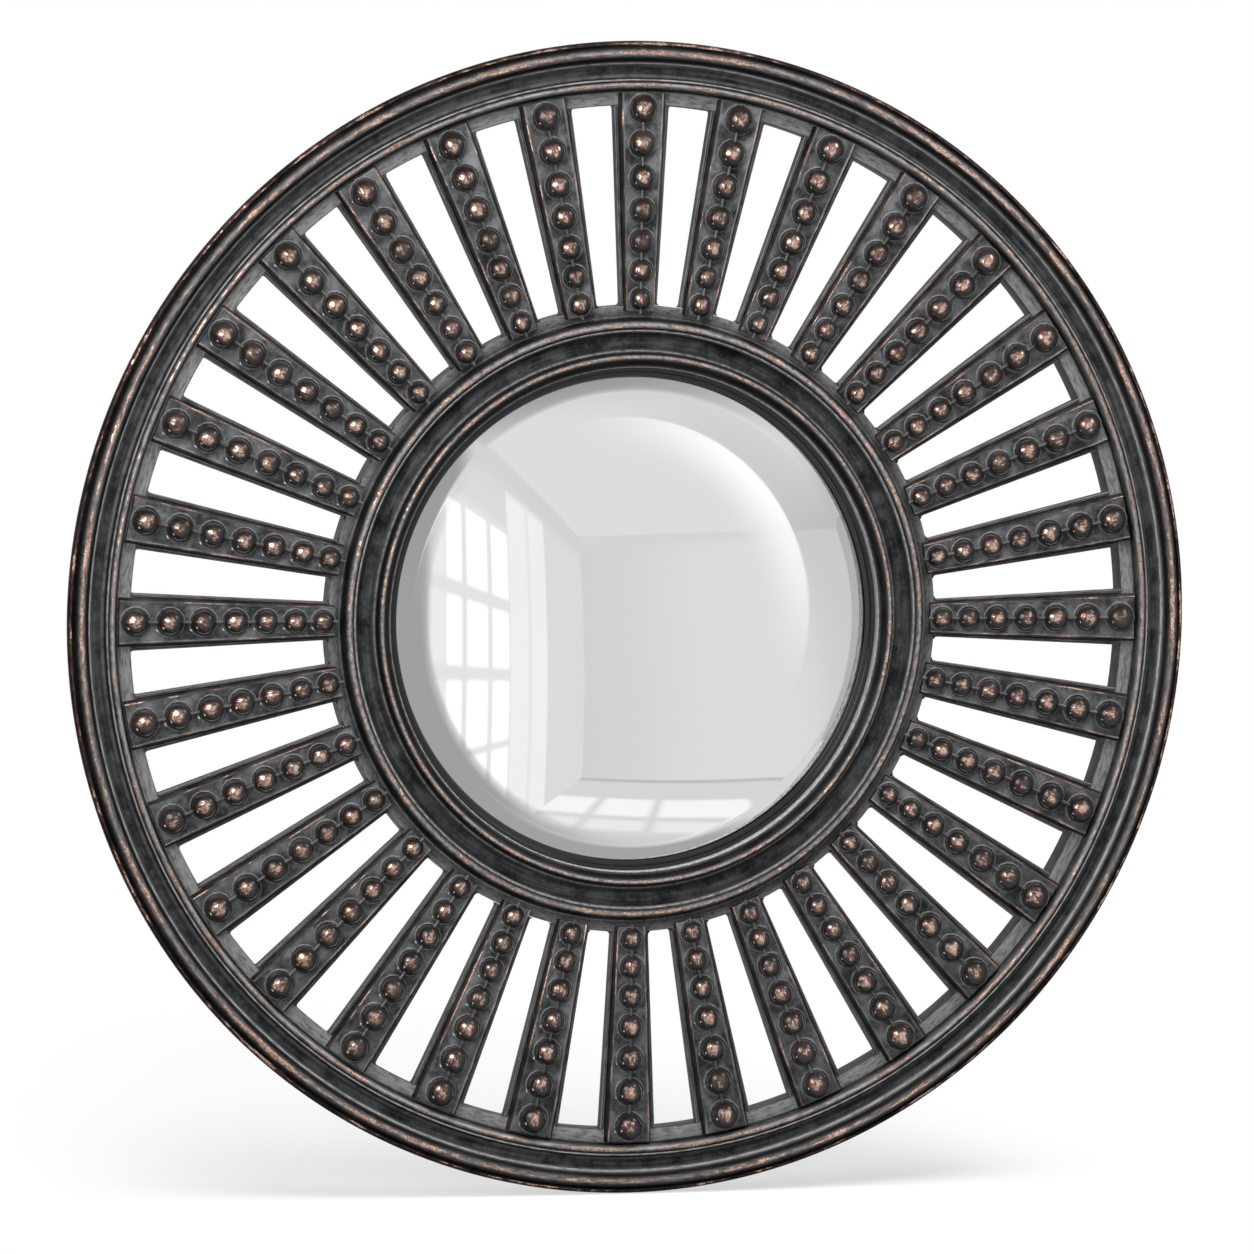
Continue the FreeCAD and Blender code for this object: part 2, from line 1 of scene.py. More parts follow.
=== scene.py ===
"""Convex butlers mirror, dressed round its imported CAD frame.

The scene is in metres and in the part's own axes: the wall is y = 0, the mirror looks along -Y and +Z is
up. The mirror's sizes are written in millimetres and multiplied by MM, and the room's and the studio's in
metres. A height is measured forwards from the flat back of the frame.
"""
import json
import math

import bmesh
import bpy
from mathutils import Matrix, Vector

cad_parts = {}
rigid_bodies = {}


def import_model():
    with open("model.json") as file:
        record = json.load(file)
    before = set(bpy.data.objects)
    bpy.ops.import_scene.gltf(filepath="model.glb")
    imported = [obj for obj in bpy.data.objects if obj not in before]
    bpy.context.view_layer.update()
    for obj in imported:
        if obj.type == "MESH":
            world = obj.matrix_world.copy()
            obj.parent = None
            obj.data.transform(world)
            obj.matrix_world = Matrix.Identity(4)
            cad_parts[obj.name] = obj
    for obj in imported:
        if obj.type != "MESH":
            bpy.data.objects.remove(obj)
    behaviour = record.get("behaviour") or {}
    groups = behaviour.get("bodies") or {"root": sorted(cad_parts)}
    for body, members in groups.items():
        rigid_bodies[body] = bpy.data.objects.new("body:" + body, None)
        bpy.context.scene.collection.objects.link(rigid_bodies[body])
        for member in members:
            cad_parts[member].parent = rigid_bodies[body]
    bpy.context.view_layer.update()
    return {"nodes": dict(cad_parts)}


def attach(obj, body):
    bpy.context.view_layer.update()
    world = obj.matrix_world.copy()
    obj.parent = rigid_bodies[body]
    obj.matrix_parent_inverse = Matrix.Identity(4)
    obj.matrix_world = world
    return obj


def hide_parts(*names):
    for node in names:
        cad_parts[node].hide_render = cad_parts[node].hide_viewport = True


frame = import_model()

MM = 0.001
WALL_GAP = 8
SPOKES = 32
STEPS_ROUND = 288
GLASS_STEPS_ROUND = 192
FULL_TURN = 2 * math.pi
SMOOTH_UNDER = 38
# The worn paint of the face starts at this height and is in full a little higher.
FACE_FROM = 15
FACE_FADE = 4
# Whatever lies lower than this is the flat back.
BACK_EDGE = 0.7
REAR_DUST = 0.45

# (radius, height) points round the section of each ring, from its inner side over its face to its outer side.
OUTER_PROFILE = [
    (400.6, 0), (400, 0.6), (400, 19.3), (400.3, 19.85), (401, 20), (409.8, 20), (410.6, 19.7),
    (411.5, 19.6), (412.2, 20.3), (412.3, 22), (412.6, 24.4), (413.3, 26.3), (414.3, 27.5), (415.5, 28),
    (416.7, 27.6), (417.5, 26.8), (417.9, 26.1), (418.4, 26.2), (418.9, 26.9), (419.5, 27.1), (420.1, 26.6),
    (420.5, 25.6), (421, 24.4), (422.4, 22.6), (424.6, 21.3), (427.2, 20.8), (429.6, 21.1), (431.4, 21.9),
    (432, 22.7), (432.8, 22.9), (433.2, 23.5), (433.7, 25.6), (434.8, 27.9), (436.4, 29.7), (438.4, 30.8),
    (440.4, 31), (442.3, 30.3), (443.8, 28.9), (444.8, 27), (445.2, 26), (445.8, 25.5), (446.5, 26),
    (447.4, 26.3), (448.5, 26), (449.3, 25), (449.7, 23.8), (449.85, 22.6), (449.5, 20), (448.6, 15),
    (447.2, 9), (445.4, 3), (444.6, 0.6), (444, 0),
]
INNER_PROFILE = [
    (202, 0.4), (202, 18), (196.7, 18), (196.7, 25.3), (197, 25.9), (197.6, 26.3), (199.4, 27.8),
    (201.4, 29.6), (202.6, 31), (203.3, 32.2), (204.2, 32.9), (205.2, 33), (206.1, 32.4), (206.8, 31.2),
    (207.3, 29.4), (207.8, 27.2), (208.2, 25.9), (208.9, 25.5), (209.7, 25.5), (210.3, 24.9), (211.6, 23.9),
    (213.8, 23.1), (216.4, 23), (219, 23.6), (221.6, 25), (223.6, 26.7), (224.8, 28.2), (225.5, 28.4),
    (226, 28.1), (226.5, 28.5), (227.2, 29.4), (228.5, 30), (230, 30), (231.4, 29.4), (232.7, 28.1),
    (233.6, 26.2), (234.1, 24), (234.3, 21.8), (234.6, 20.3), (235.3, 19.7), (236.2, 19.7), (237, 20),
    (244, 20), (244.7, 19.85), (244.9, 19.3), (244.9, 0.6), (244.3, 0), (202.4, 0),
]
SLIP_PROFILE = [
    (189.6, 14.4), (189.6, 15.6), (189.9, 16), (190.6, 16.15), (192.6, 16.3), (193.1, 16.6), (193.2, 17.3),
    (193.6, 17.7), (194.4, 17.8), (196.4, 17.9), (196.9, 18), (201.7, 18), (201.7, 14.4),
]
# Where the finish is rubbed through: (radius, half width, strength) of each crest.
OUTER_CRESTS = [(415.4, 2.1, 1), (419.4, 0.7, 0.6), (439.8, 2.8, 1), (447.7, 1.5, 0.9), (400.4, 0.8, 0.45)]
INNER_CRESTS = [(204.8, 1.8, 1), (229.7, 2.0, 1), (231.6, 0.8, 0.6), (197, 0.5, 0.4), (244.5, 0.8, 0.4)]
# Where a sharp fillet or crest is painted pale, as polished wear and a painted highlight.
OUTER_EDGES = [
    (415.2, 1.6, 0.8), (419.4, 0.6, 0.9), (432.5, 0.8, 1), (440.0, 1.9, 0.5), (422.6, 0.8, 0.25),
    (409.9, 0.7, 0.6), (401.0, 0.6, 0.5),
]
INNER_EDGES = [
    (196.9, 0.5, 0.9), (204.7, 1.2, 0.7), (209.6, 0.6, 0.5), (225.4, 0.6, 1), (229.8, 1.5, 0.75),
    (236.2, 0.7, 0.5), (244.3, 0.6, 0.5),
]
# Where dust lies: (radius, half width, strength) of each hollow or flat.
OUTER_HOLLOWS = [(405, 4.5, 0.6), (427.5, 3.5, 0.5), (412.6, 0.7, 0.35)]
INNER_HOLLOWS = [(240.5, 4, 0.65), (217, 5, 0.5)]
# Painted shade, near black, in each quirk and on the flank of a round.
OUTER_QUIRKS = [
    (411.4, 0.9, 0.9), (417.9, 0.55, 1), (421.3, 1, 1), (434.4, 1.4, 1), (444.4, 1.9, 0.9), (450, 0.8, 1),
]
INNER_QUIRKS = [(199.4, 1.9, 0.85), (207.9, 1.3, 1), (226.4, 0.5, 0.9), (227.5, 0.6, 0.4), (234.4, 1.3, 0.9)]


def depth(height):
    """Where a height on the frame lies along Y, in metres."""
    return -(WALL_GAP + height) * MM


def height_of(point):
    """The height of a point that is given in millimetres."""
    return -point.y - WALL_GAP


# --- modelling helpers ----------------------------------------------------------------------------
def only(piece):
    """Selects one piece and nothing else."""
    for other in bpy.context.view_layer.objects:
        other.select_set(False)
    piece.select_set(True)
    bpy.context.view_layer.objects.active = piece


def deselect():
    """Selects nothing."""
    for other in bpy.context.view_layer.objects:
        other.select_set(False)


def settle(piece, name):
    """Puts a piece's place, turn and scale into its mesh and names it."""
    only(piece)
    bpy.ops.object.transform_apply(location=True, rotation=True, scale=True)
    piece.name = name
    piece.data.name = name
    return piece


def chain(name, points, closed=True):
    """A line of vertices extruded one after another through the points, in metres."""
    deselect()
    bpy.ops.mesh.primitive_plane_add(size=MM, location=points[0])
    piece = bpy.context.object
    bpy.ops.object.mode_set(mode="EDIT")
    bpy.ops.mesh.select_all(action="SELECT")
    bpy.ops.mesh.merge(type="CENTER")
    here = Vector(points[0])
    for point in points[1:]:
        step = Vector(point) - here
        bpy.ops.mesh.extrude_vertices_move(TRANSFORM_OT_translate={"value": step})
        here = Vector(point)
    if closed:
        mesh = bmesh.from_edit_mesh(piece.data)
        mesh.verts.ensure_lookup_table()
        for vertex in mesh.verts:
            vertex.select_set(len(vertex.link_edges) < 2)
        mesh.select_flush_mode()
        bmesh.update_edit_mesh(piece.data)
        bpy.ops.mesh.edge_face_add()
    bpy.ops.object.mode_set(mode="OBJECT")
    return settle(piece, name)


def turned(name, profile, steps=STEPS_ROUND, closed=True):
    """A ring spun about the mirror's axis from (radius, height) points."""
    piece = chain(name, [(0, depth(height), radius * MM) for radius, height in profile], closed)
    bpy.ops.object.mode_set(mode="EDIT")
    bpy.ops.mesh.select_all(action="SELECT")
    bpy.ops.mesh.spin(steps=steps, angle=FULL_TURN, center=(0, 0, 0), axis=(0, 1, 0))
    bpy.ops.mesh.select_all(action="SELECT")
    bpy.ops.mesh.remove_doubles(threshold=MM / 100)
    bpy.ops.mesh.select_all(action="SELECT")
    bpy.ops.mesh.normals_make_consistent(inside=False)
    bpy.ops.object.mode_set(mode="OBJECT")
    return piece


def drawn_out(name, section, stations):
    """A bar drawn out along +Z from a closed section of (x, height) points in millimetres.

    Each station is (distance along Z, width factor), and the section is given at factor 1.
    """
    first, factor = stations[0]
    piece = chain(name, [(x * factor * MM, depth(height), first * MM) for x, height in section])
    bpy.ops.object.mode_set(mode="EDIT")
    bpy.ops.mesh.select_all(action="SELECT")
    bpy.ops.mesh.edge_face_add()
    for (last, old), (place, new) in zip(stations, stations[1:]):
        bpy.ops.mesh.extrude_region_move(TRANSFORM_OT_translate={"value": (0, 0, (place - last) * MM)})
        bpy.ops.transform.resize(value=(new / old, 1, 1), center_override=(0, 0, 0))
    bpy.ops.mesh.select_all(action="SELECT")
    bpy.ops.mesh.normals_make_consistent(inside=False)
    bpy.ops.object.mode_set(mode="OBJECT")
    return piece


def smooth(piece, degrees=SMOOTH_UNDER):
    """Shades a piece smooth, apart from edges sharper than the angle."""
    only(piece)
    bpy.ops.object.shade_smooth_by_angle(angle=math.radians(degrees))
    return piece


def modify(piece, kind, **settings):
    """Adds a modifier, sets it and applies it."""
    only(piece)
    modifier = piece.modifiers.new(kind.title(), kind)
    for key, setting in settings.items():
        setattr(modifier, key, setting)
    bpy.ops.object.modifier_apply(modifier=modifier.name)
    return piece


def join(name, pieces):
    """Makes one piece of several."""
    deselect()
    for piece in pieces:
        piece.select_set(True)
    bpy.context.view_layer.objects.active = pieces[0]
    bpy.ops.object.join()
    whole = pieces[0]
    whole.name = name
    whole.data.name = name
    return whole


def copied(piece, name, matrix):
    """A copy with its own mesh, moved by the matrix."""
    mesh = piece.data.copy()
    mesh.transform(matrix)
    twin = bpy.data.objects.new(name, mesh)
    bpy.context.scene.collection.objects.link(twin)
    return twin


def paint(piece, attribute, rule):
    """Writes a value from 0 to 1 on every vertex, from its place in millimetres."""
    layer = piece.data.attributes.new(attribute, "FLOAT", "POINT")
    values = [min(1.0, max(0.0, rule(vertex.co / MM))) for vertex in piece.data.vertices]
    layer.data.foreach_set("value", values)


def bumps(places, radius):
    """How strongly the listed (centre, half width, strength) bands act at a radius."""
    return max(strength * math.exp(-(((radius - centre) / width) ** 2)) for centre, width, strength in places)


def front(point):
    """1 on the face of the frame and 0 on its back."""
    return min(1.0, max(0.0, (height_of(point) - FACE_FROM) / FACE_FADE))


def rear(point):
    """1 on the flat back, where the bare casting is paler."""
    return 1.0 if height_of(point) < BACK_EDGE else 0.0


def turn(number):
    """The turn from the top to a spoke, clockwise as seen from the front."""
    return Matrix.Rotation(FULL_TURN * number / SPOKES, 4, "Y")


def coat_with(piece, material):
    """Gives a piece one material and no other."""
    piece.data.materials.clear()
    piece.data.materials.append(material)


def finish_piece(piece, material, node):
    """Gives a piece of the frame its material and lets it stand for its node."""
    coat_with(piece, material)
    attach(piece, "frame")
    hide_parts(node)


# --- shader groups --------------------------------------------------------------------------------
class Shader:
    """A short hand for building a node tree."""

    def __init__(self, tree):
        self.tree = tree

    def add(self, kind, settings=None, **inputs):
        node = self.tree.nodes.new(kind)
        for key, setting in (settings or {}).items():
            setattr(node, key, setting)
        for key, source in inputs.items():
            self.feed(node, key.replace("_", " "), source)
        return node

    def link(self, source, socket):
        self.tree.links.new(source, socket)

    def feed(self, node, key, source):
        socket = node.inputs[int(key) if key.isdigit() else key]
        if isinstance(source, bpy.types.NodeSocket):
            self.link(source, socket)
        else:
            socket.default_value = source

    def math(self, operation, *values):
        node = self.tree.nodes.new("ShaderNodeMath")
        node.operation = operation
        for number, source in enumerate(values):
            self.feed(node, str(number), source)
        return node.outputs[0]

    def vector(self, operation, first, second=None, scale=None):
        node = self.tree.nodes.new("ShaderNodeVectorMath")
        node.operation = operation
        self.feed(node, "0", first)
        if second is not None:
            self.feed(node, "1", second)
        if scale is not None:
            self.feed(node, "Scale", scale)
        return node.outputs["Value" if operation in ("LENGTH", "DOT_PRODUCT") else "Vector"]

    def noise(self, coordinates, scale, detail=4, roughness=0.55):
        node = self.tree.nodes.new("ShaderNodeTexNoise")
        self.feed(node, "Vector", coordinates)
        node.inputs["Scale"].default_value = scale
        node.inputs["Detail"].default_value = detail
        node.inputs["Roughness"].default_value = roughness
        return node.outputs["Fac"]

    def step(self, source, low, high, start=0.0, end=1.0):
        """Goes softly from start to end while the source goes from low to high."""
        node = self.tree.nodes.new("ShaderNodeMapRange")
        node.interpolation_type = "SMOOTHSTEP"
        keys = ("Value", "From Min", "From Max", "To Min", "To Max")
        for key, value in zip(keys, (source, low, high, start, end)):
            self.feed(node, key, value)
        return node.outputs["Result"]

    def band(self, source, low, high, soft):
        """1 between low and high and 0 outside them, with soft edges."""
        rise = self.step(source, low - soft, low + soft)
        return self.math("MULTIPLY", rise, self.step(source, high - soft, high + soft, 1.0, 0.0))

    def total(self, values):
        """The sum of bands that don't overlap."""
        whole = values[0]
        for value in values[1:]:
            whole = self.math("ADD", whole, value)
        return whole

    def mix(self, factor, first, second):
        """From one colour to another."""
        node = self.tree.nodes.new("ShaderNodeMix")
        node.data_type = "RGBA"
        self.feed(node, "0", factor)
        self.feed(node, "6", first)
        self.feed(node, "7", second)
        return node.outputs[2]

    def blend(self, factor, first, second):
        """From one value to another."""
        node = self.tree.nodes.new("ShaderNodeMix")
        node.data_type = "FLOAT"
        self.feed(node, "0", factor)
        self.feed(node, "2", first)
        self.feed(node, "3", second)
        return node.outputs[0]


def group(name, inputs, outputs):
    """An empty node group with its sockets, and what is needed to fill it."""
    tree = bpy.data.node_groups.new(name, "ShaderNodeTree")
    kinds = {"float": "NodeSocketFloat", "color": "NodeSocketColor", "vector": "NodeSocketVector"}
    for label, kind, default in inputs:
        tree.interface.new_socket(label, in_out="INPUT", socket_type=kinds[kind]).default_value = default
    for label, kind in outputs:
        tree.interface.new_socket(label, in_out="OUTPUT", socket_type=kinds[kind])
    shader = Shader(tree)
    return tree, shader, shader.add("NodeGroupInput").outputs, shader.add("NodeGroupOutput").inputs


def grey(value):
    return (value, value, value, 1)


# Colours: paint nearly rubbed through, dust, pale polish and painted highlight, and painted shade in a quirk.
RUBBED_BROWN = (0.10, 0.048, 0.034, 1)
DUST_GREY = (0.25, 0.255, 0.26, 1)
PALE_EDGE = (0.54, 0.53, 0.53, 1)
PAINTED_SHADE_BLACK = (0.0035, 0.003, 0.003, 1)
# The mottling's level over which copper shows, and how much lower it lies on a crest.
COPPER_LEVEL = 0.80
CREST_LOWERS_IT = 0.34


def build_around():
    """Coordinates that run round the mirror: slow along the mouldings, quick across them."""
    inputs = [("Along", "float", 1.0), ("Across", "float", 1.0)]
    tree, s, given, out = group("around", inputs, [("Vector", "vector")])
    place = s.add("ShaderNodeTexCoord").outputs["Object"]
    flat = s.vector("MULTIPLY", place, (1, 0, 1))
    heading = s.vector("SCALE", s.vector("NORMALIZE", flat), scale=given["Along"])
    radius = s.vector("LENGTH", flat)
    apart = s.add("ShaderNodeSeparateXYZ", {}, Vector=heading)
    height = s.add("ShaderNodeSeparateXYZ", {}, Vector=place).outputs["Y"]
    reach = s.math("MULTIPLY", s.math("SUBTRACT", radius, height), given["Across"])
    joined = s.add("ShaderNodeCombineXYZ", {}, X=apart.outputs["X"], Y=reach, Z=apart.outputs["Z"])
    s.link(joined.outputs[0], out["Vector"])
    return tree


def build_patina(around):
    """Mottled dark bronze paint.

    It is rubbed through to copper where Rub says, dusty where Dust says, pale where Edge says, as polished
    wear and a painted highlight, and near black with painted shade where the painted shade input says.
    """
    inputs = [(label, "float", 0.0) for label in ("Rub", "Dust", "Edge", "Grime")]
    inputs += [(label, "float", 1.0) for label in ("Shine", "Along", "Across")]
    inputs += [("Base", "color", grey(0.02)), ("Lighter", "color", grey(0.05))]
    inputs += [("Deep", "color", grey(0.3)), ("Pale", "color", grey(0.6))]
    outputs = [("Color", "color"), ("Roughness", "float"), ("Metallic", "float"), ("Height", "float")]
    tree, s, given, out = group("patina", inputs, outputs)
    place = s.add("ShaderNodeTexCoord").outputs["Object"]
    scales = {"Along": given["Along"], "Across": given["Across"]}
    round_place = s.add("ShaderNodeGroup", {"node_tree": around}, **scales).outputs[0]
    fine = s.noise(round_place, 1.0, 5, 0.6)
    broad = s.noise(s.vector("MULTIPLY", round_place, (0.21, 0.3, 0.21)), 1.0, 3, 0.5)
    specks = s.noise(place, 520.0, 5, 0.7)
    clouds = s.noise(place, 34.0, 5, 0.6)
    streaks = s.noise(s.vector("MULTIPLY", round_place, (0.12, 0.9, 0.12)), 1.0, 3, 0.5)
    pattern = s.math("ADD", s.math("MULTIPLY", fine, 0.5), s.math("MULTIPLY", broad, 0.5))
    level = s.math("SUBTRACT", COPPER_LEVEL, s.math("MULTIPLY", given["Rub"], CREST_LOWERS_IT))
    over = s.math("SUBTRACT", pattern, level)
    bare = s.step(over, 0.0, 0.045)
    thin = s.step(over, -0.15, 0.01)
    base = s.mix(s.step(clouds, 0.42, 0.72), given["Base"], given["Lighter"])
    base = s.mix(s.math("MULTIPLY", s.step(streaks, 0.48, 0.7), 0.7), base, given["Lighter"])
    # Painted shade: near black in the quirks and on the flanks of the rounds.
    base = s.mix(s.math("MULTIPLY", given["Grime"], 0.85), base, PAINTED_SHADE_BLACK)
    brown = s.mix(s.math("MULTIPLY", thin, 0.8), base, RUBBED_BROWN)
    copper = s.mix(s.step(specks, 0.36, 0.62), given["Deep"], given["Pale"])
    worn = s.mix(bare, brown, copper)
    covered = s.math("SUBTRACT", 1.0, bare)
    lying = s.math("MULTIPLY", given["Dust"], s.step(s.noise(place, 55.0, 7, 0.72), 0.34, 0.64, 0.1, 1.0))
    dusty = s.math("MULTIPLY", s.math("MULTIPLY", lying, covered), s.step(streaks, 0.3, 0.7, 0.45, 1.0))
    colour = s.mix(s.math("MULTIPLY", dusty, 0.9), worn, DUST_GREY)
    # Painted highlight and polished wear: pale where Edge says.
    pale = s.math("MULTIPLY", s.math("MULTIPLY", given["Edge"], covered), s.step(fine, 0.3, 0.6, 0.35, 1.0))
    colour = s.mix(pale, colour, PALE_EDGE)
    rough = s.blend(bare, s.step(specks, 0.3, 0.7, 0.34, 0.5), 0.27)
    rough = s.math("MULTIPLY", s.blend(dusty, rough, 0.66), given["Shine"])
    height = s.math("SUBTRACT", s.math("MULTIPLY", specks, 0.5), s.math("MULTIPLY", bare, 0.5))
    height = s.math("ADD", height, s.math("MULTIPLY", clouds, 0.9))
    for key, source in (("Color", colour), ("Roughness", rough), ("Height", height)):
        s.link(source, out[key])
    s.link(s.math("MULTIPLY", bare, 0.85), out["Metallic"])
    return tree


def bare_material(name):
    """A material that holds only its output."""
    new = bpy.data.materials.new(name)
    new.use_nodes = True
    new.node_tree.nodes.clear()
    s = Shader(new.node_tree)
    return new, s, s.add("ShaderNodeOutputMaterial").inputs["Surface"]


def material(name):
    """A material with the one shader that the mirror's finishes use."""
    new, s, output = bare_material(name)
    surface = s.add("ShaderNodeBsdfPrincipled")
    s.link(surface.outputs[0], output)
    return new, s, surface


def attribute(s, name):
    """A value that was painted on the piece."""
    return s.add("ShaderNodeAttribute", {"attribute_name": name}).outputs["Fac"]


def bump(s, surface, height, strength, distance):
    """Lets the light catch a surface's fine relief."""
    node = s.add("ShaderNodeBump", {}, Strength=strength, Distance=distance, Height=height)
    s.link(node.outputs[0], surface.inputs["Normal"])


around_group = build_around()
patina_group = build_patina(around_group)
COAT_ROUGHNESS = 0.08
PAINT_RELIEF = 0.0006
GRAIN_RELIEF = 0.0004


def bronze(name, along, across, paints, coppers, gloss=0.09, relief=0.35, coat=0.0, shine=1.0):
    """Worn bronze paint, whose mottling has a scale of its own along and across the mouldings."""
    new, s, surface = material(name)
    finish = s.add(
        "ShaderNodeGroup", {"node_tree": patina_group}, Rub=attribute(s, "rub"), Dust=attribute(s, "dust"),
        Edge=attribute(s, "edge"), Grime=attribute(s, "painted_shade"), Shine=shine, Along=along, Across=across,
        Base=paints[0], Lighter=paints[1], Deep=coppers[0], Pale=coppers[1],
    ).outputs
    for key in ("Roughness", "Metallic"):
        s.link(finish[key], surface.inputs[key])
    s.link(finish["Color"], surface.inputs["Base Color"])
    surface.inputs["Specular IOR Level"].default_value = gloss
    surface.inputs["Coat Weight"].default_value = coat
    surface.inputs["Coat Roughness"].default_value = COAT_ROUGHNESS
    bump(s, surface, finish["Height"], relief, PAINT_RELIEF)
    return new


# Each finish has a darker and a lighter paint, and a deeper and a paler copper.
RING_PAINTS = ((0.004, 0.004, 0.0045, 1), (0.023, 0.023, 0.0255, 1))
SPOKE_PAINTS = ((0.004, 0.004, 0.0045, 1), (0.021, 0.022, 0.0235, 1))
BEAD_PAINTS = ((0.012, 0.010, 0.0095, 1), (0.032, 0.026, 0.024, 1))
RING_COPPERS = ((0.42, 0.20, 0.13, 1), (0.86, 0.66, 0.55, 1))
BEAD_COPPERS = ((0.40, 0.20, 0.135, 1), (0.84, 0.62, 0.52, 1))
ring_bronze = bronze("ring_bronze", 55.0, 560.0, RING_PAINTS, RING_COPPERS)
spoke_bronze = bronze("spoke_bronze", 230.0, 75.0, SPOKE_PAINTS, RING_COPPERS)
bead_bronze = bronze(
    "bead_bronze", 230.0, 230.0, BEAD_PAINTS, BEAD_COPPERS, gloss=0.45, relief=0.05, coat=0.6, shine=0.5,
)


def make_slip_material():
    """Gloss black with faint smears."""
    new, s, surface = material("gloss_black")
    place = s.add("ShaderNodeTexCoord").outputs["Object"]
    smears = s.noise(place, 60.0)
    colour = s.mix(smears, (0.004, 0.004, 0.0045, 1), (0.012, 0.012, 0.013, 1))
    s.link(colour, surface.inputs["Base Color"])
    s.link(s.step(smears, 0.3, 0.8, 0.09, 0.22), surface.inputs["Roughness"])
    return new


def make_mirror_material():
    """Silvered glass with a faint film."""
    new, s, surface = material("silvered_glass")
    place = s.add("ShaderNodeTexCoord").outputs["Object"]
    film = s.noise(place, 9.0, 3)
    colour = s.mix(film, (0.90, 0.905, 0.91, 1), (0.93, 0.935, 0.94, 1))
    s.link(colour, surface.inputs["Base Color"])
    s.link(s.step(film, 0.35, 0.75, 0.012, 0.035), surface.inputs["Roughness"])
    surface.inputs["Metallic"].default_value = 1.0
    return new


def make_plain(name, dark, light, scale, roughness, metallic=0.0, relief=0.2):
    """A finish that is only mottled: hardboard, foam, rubber, zinc plate."""
    new, s, surface = material(name)
    grain = s.noise(s.add("ShaderNodeTexCoord").outputs["Object"], scale, 6, 0.65)
    s.link(s.mix(s.step(grain, 0.3, 0.7), dark, light), surface.inputs["Base Color"])
    low, high = roughness
    s.link(s.step(grain, 0.3, 0.7, low, high), surface.inputs["Roughness"])
    surface.inputs["Metallic"].default_value = metallic
    bump(s, surface, grain, relief, GRAIN_RELIEF)
    return new


gloss_black = make_slip_material()
silvered_glass = make_mirror_material()
hardboard = make_plain("hardboard", (0.13, 0.075, 0.04, 1), (0.24, 0.15, 0.085, 1), 260.0, (0.6, 0.8))
foam = make_plain("foam", grey(0.035), grey(0.075), 700.0, (0.85, 0.95), relief=0.5)
rubber = make_plain("rubber", grey(0.02), grey(0.035), 300.0, (0.55, 0.7))
zinc = make_plain(
    "zinc", (0.42, 0.42, 0.41, 1), (0.62, 0.61, 0.58, 1), 240.0, (0.24, 0.38), metallic=1.0, relief=0.1,
)


# --- mouldings ------------------------------------------------------------------------------------
def moulding(name, node, profile, crests, hollows, edges, quirks):
    """One of the two rings, turned and painted."""

    def at(point, places):
        return bumps(places, math.hypot(point.x, point.z))

    ring = smooth(turned(name, profile))
    paint(ring, "rub", lambda p: front(p) * at(p, crests))
    paint(ring, "dust", lambda p: REAR_DUST * rear(p) + front(p) * at(p, hollows))
    # Pale polished wear with a painted highlight on fillets and crests, and painted shade in the quirks.
    paint(ring, "edge", lambda p: front(p) * at(p, edges))
    paint(ring, "painted_shade", lambda p: (1 - rear(p)) * at(p, quirks))
    finish_piece(ring, ring_bronze, node)


moulding(
    "outer_moulding", "outer_ring", OUTER_PROFILE, OUTER_CRESTS, OUTER_HOLLOWS, OUTER_EDGES, OUTER_QUIRKS,
)
moulding(
    "inner_moulding", "inner_ring", INNER_PROFILE, INNER_CRESTS, INNER_HOLLOWS, INNER_EDGES, INNER_QUIRKS,
)

slip = smooth(turned("glass_slip", SLIP_PROFILE))
finish_piece(slip, gloss_black, "slip_ring")

# --- glass ----------------------------------------------------------------------------------------
GLASS_RADIUS = 198.6
GLASS_RISE = 22
GLASS_EDGE = 12.129
GLASS_THICKNESS = 3
SPHERE = (GLASS_RADIUS**2 + GLASS_RISE**2) / (2 * GLASS_RISE)
BEVEL_AT = 178
BEVEL_SLOPE = math.radians(3.6)
# A fine groove where the bevel starts: (distance outwards from it, distance behind the plain sphere).
GROOVE = [(-1.4, 0), (-0.7, 0), (0, -0.018), (0.6, 0.012), (1.1, 0.02)]
PAST_GROOVE = 1.6
FACE_RINGS = 30
BEVEL_RINGS = 8
BACK_RADII = (GLASS_RADIUS, 180, 150, 120, 90, 60, 30, 0)


def glass_height(radius):
    """Height of the glass's face, whose border is ground to a steeper slope."""
    plain = GLASS_EDGE + GLASS_RISE - SPHERE + math.sqrt(SPHERE**2 - radius**2)
    return plain - max(0, radius - BEVEL_AT - GROOVE[-1][0]) * math.tan(BEVEL_SLOPE)


def glass_profile():
    """The glass's (radius, height) points, from the middle of its face round its edge to its back."""
    border = GLASS_RADIUS - BEVEL_AT - PAST_GROOVE
    inside = [BEVEL_AT * number / FACE_RINGS for number in range(FACE_RINGS)]
    outside = [BEVEL_AT + PAST_GROOVE + border * number / BEVEL_RINGS for number in range(BEVEL_RINGS + 1)]
    face = [(radius, glass_height(radius)) for radius in inside]
    face += [(BEVEL_AT + along, glass_height(BEVEL_AT + along) - behind) for along, behind in GROOVE]
    face += [(radius, glass_height(radius)) for radius in outside]
    return face + [(radius, glass_height(radius) - GLASS_THICKNESS) for radius in BACK_RADII]


glass = smooth(turned("convex_glass", glass_profile(), steps=GLASS_STEPS_ROUND, closed=False))
finish_piece(glass, silvered_glass, "mirror_glass")

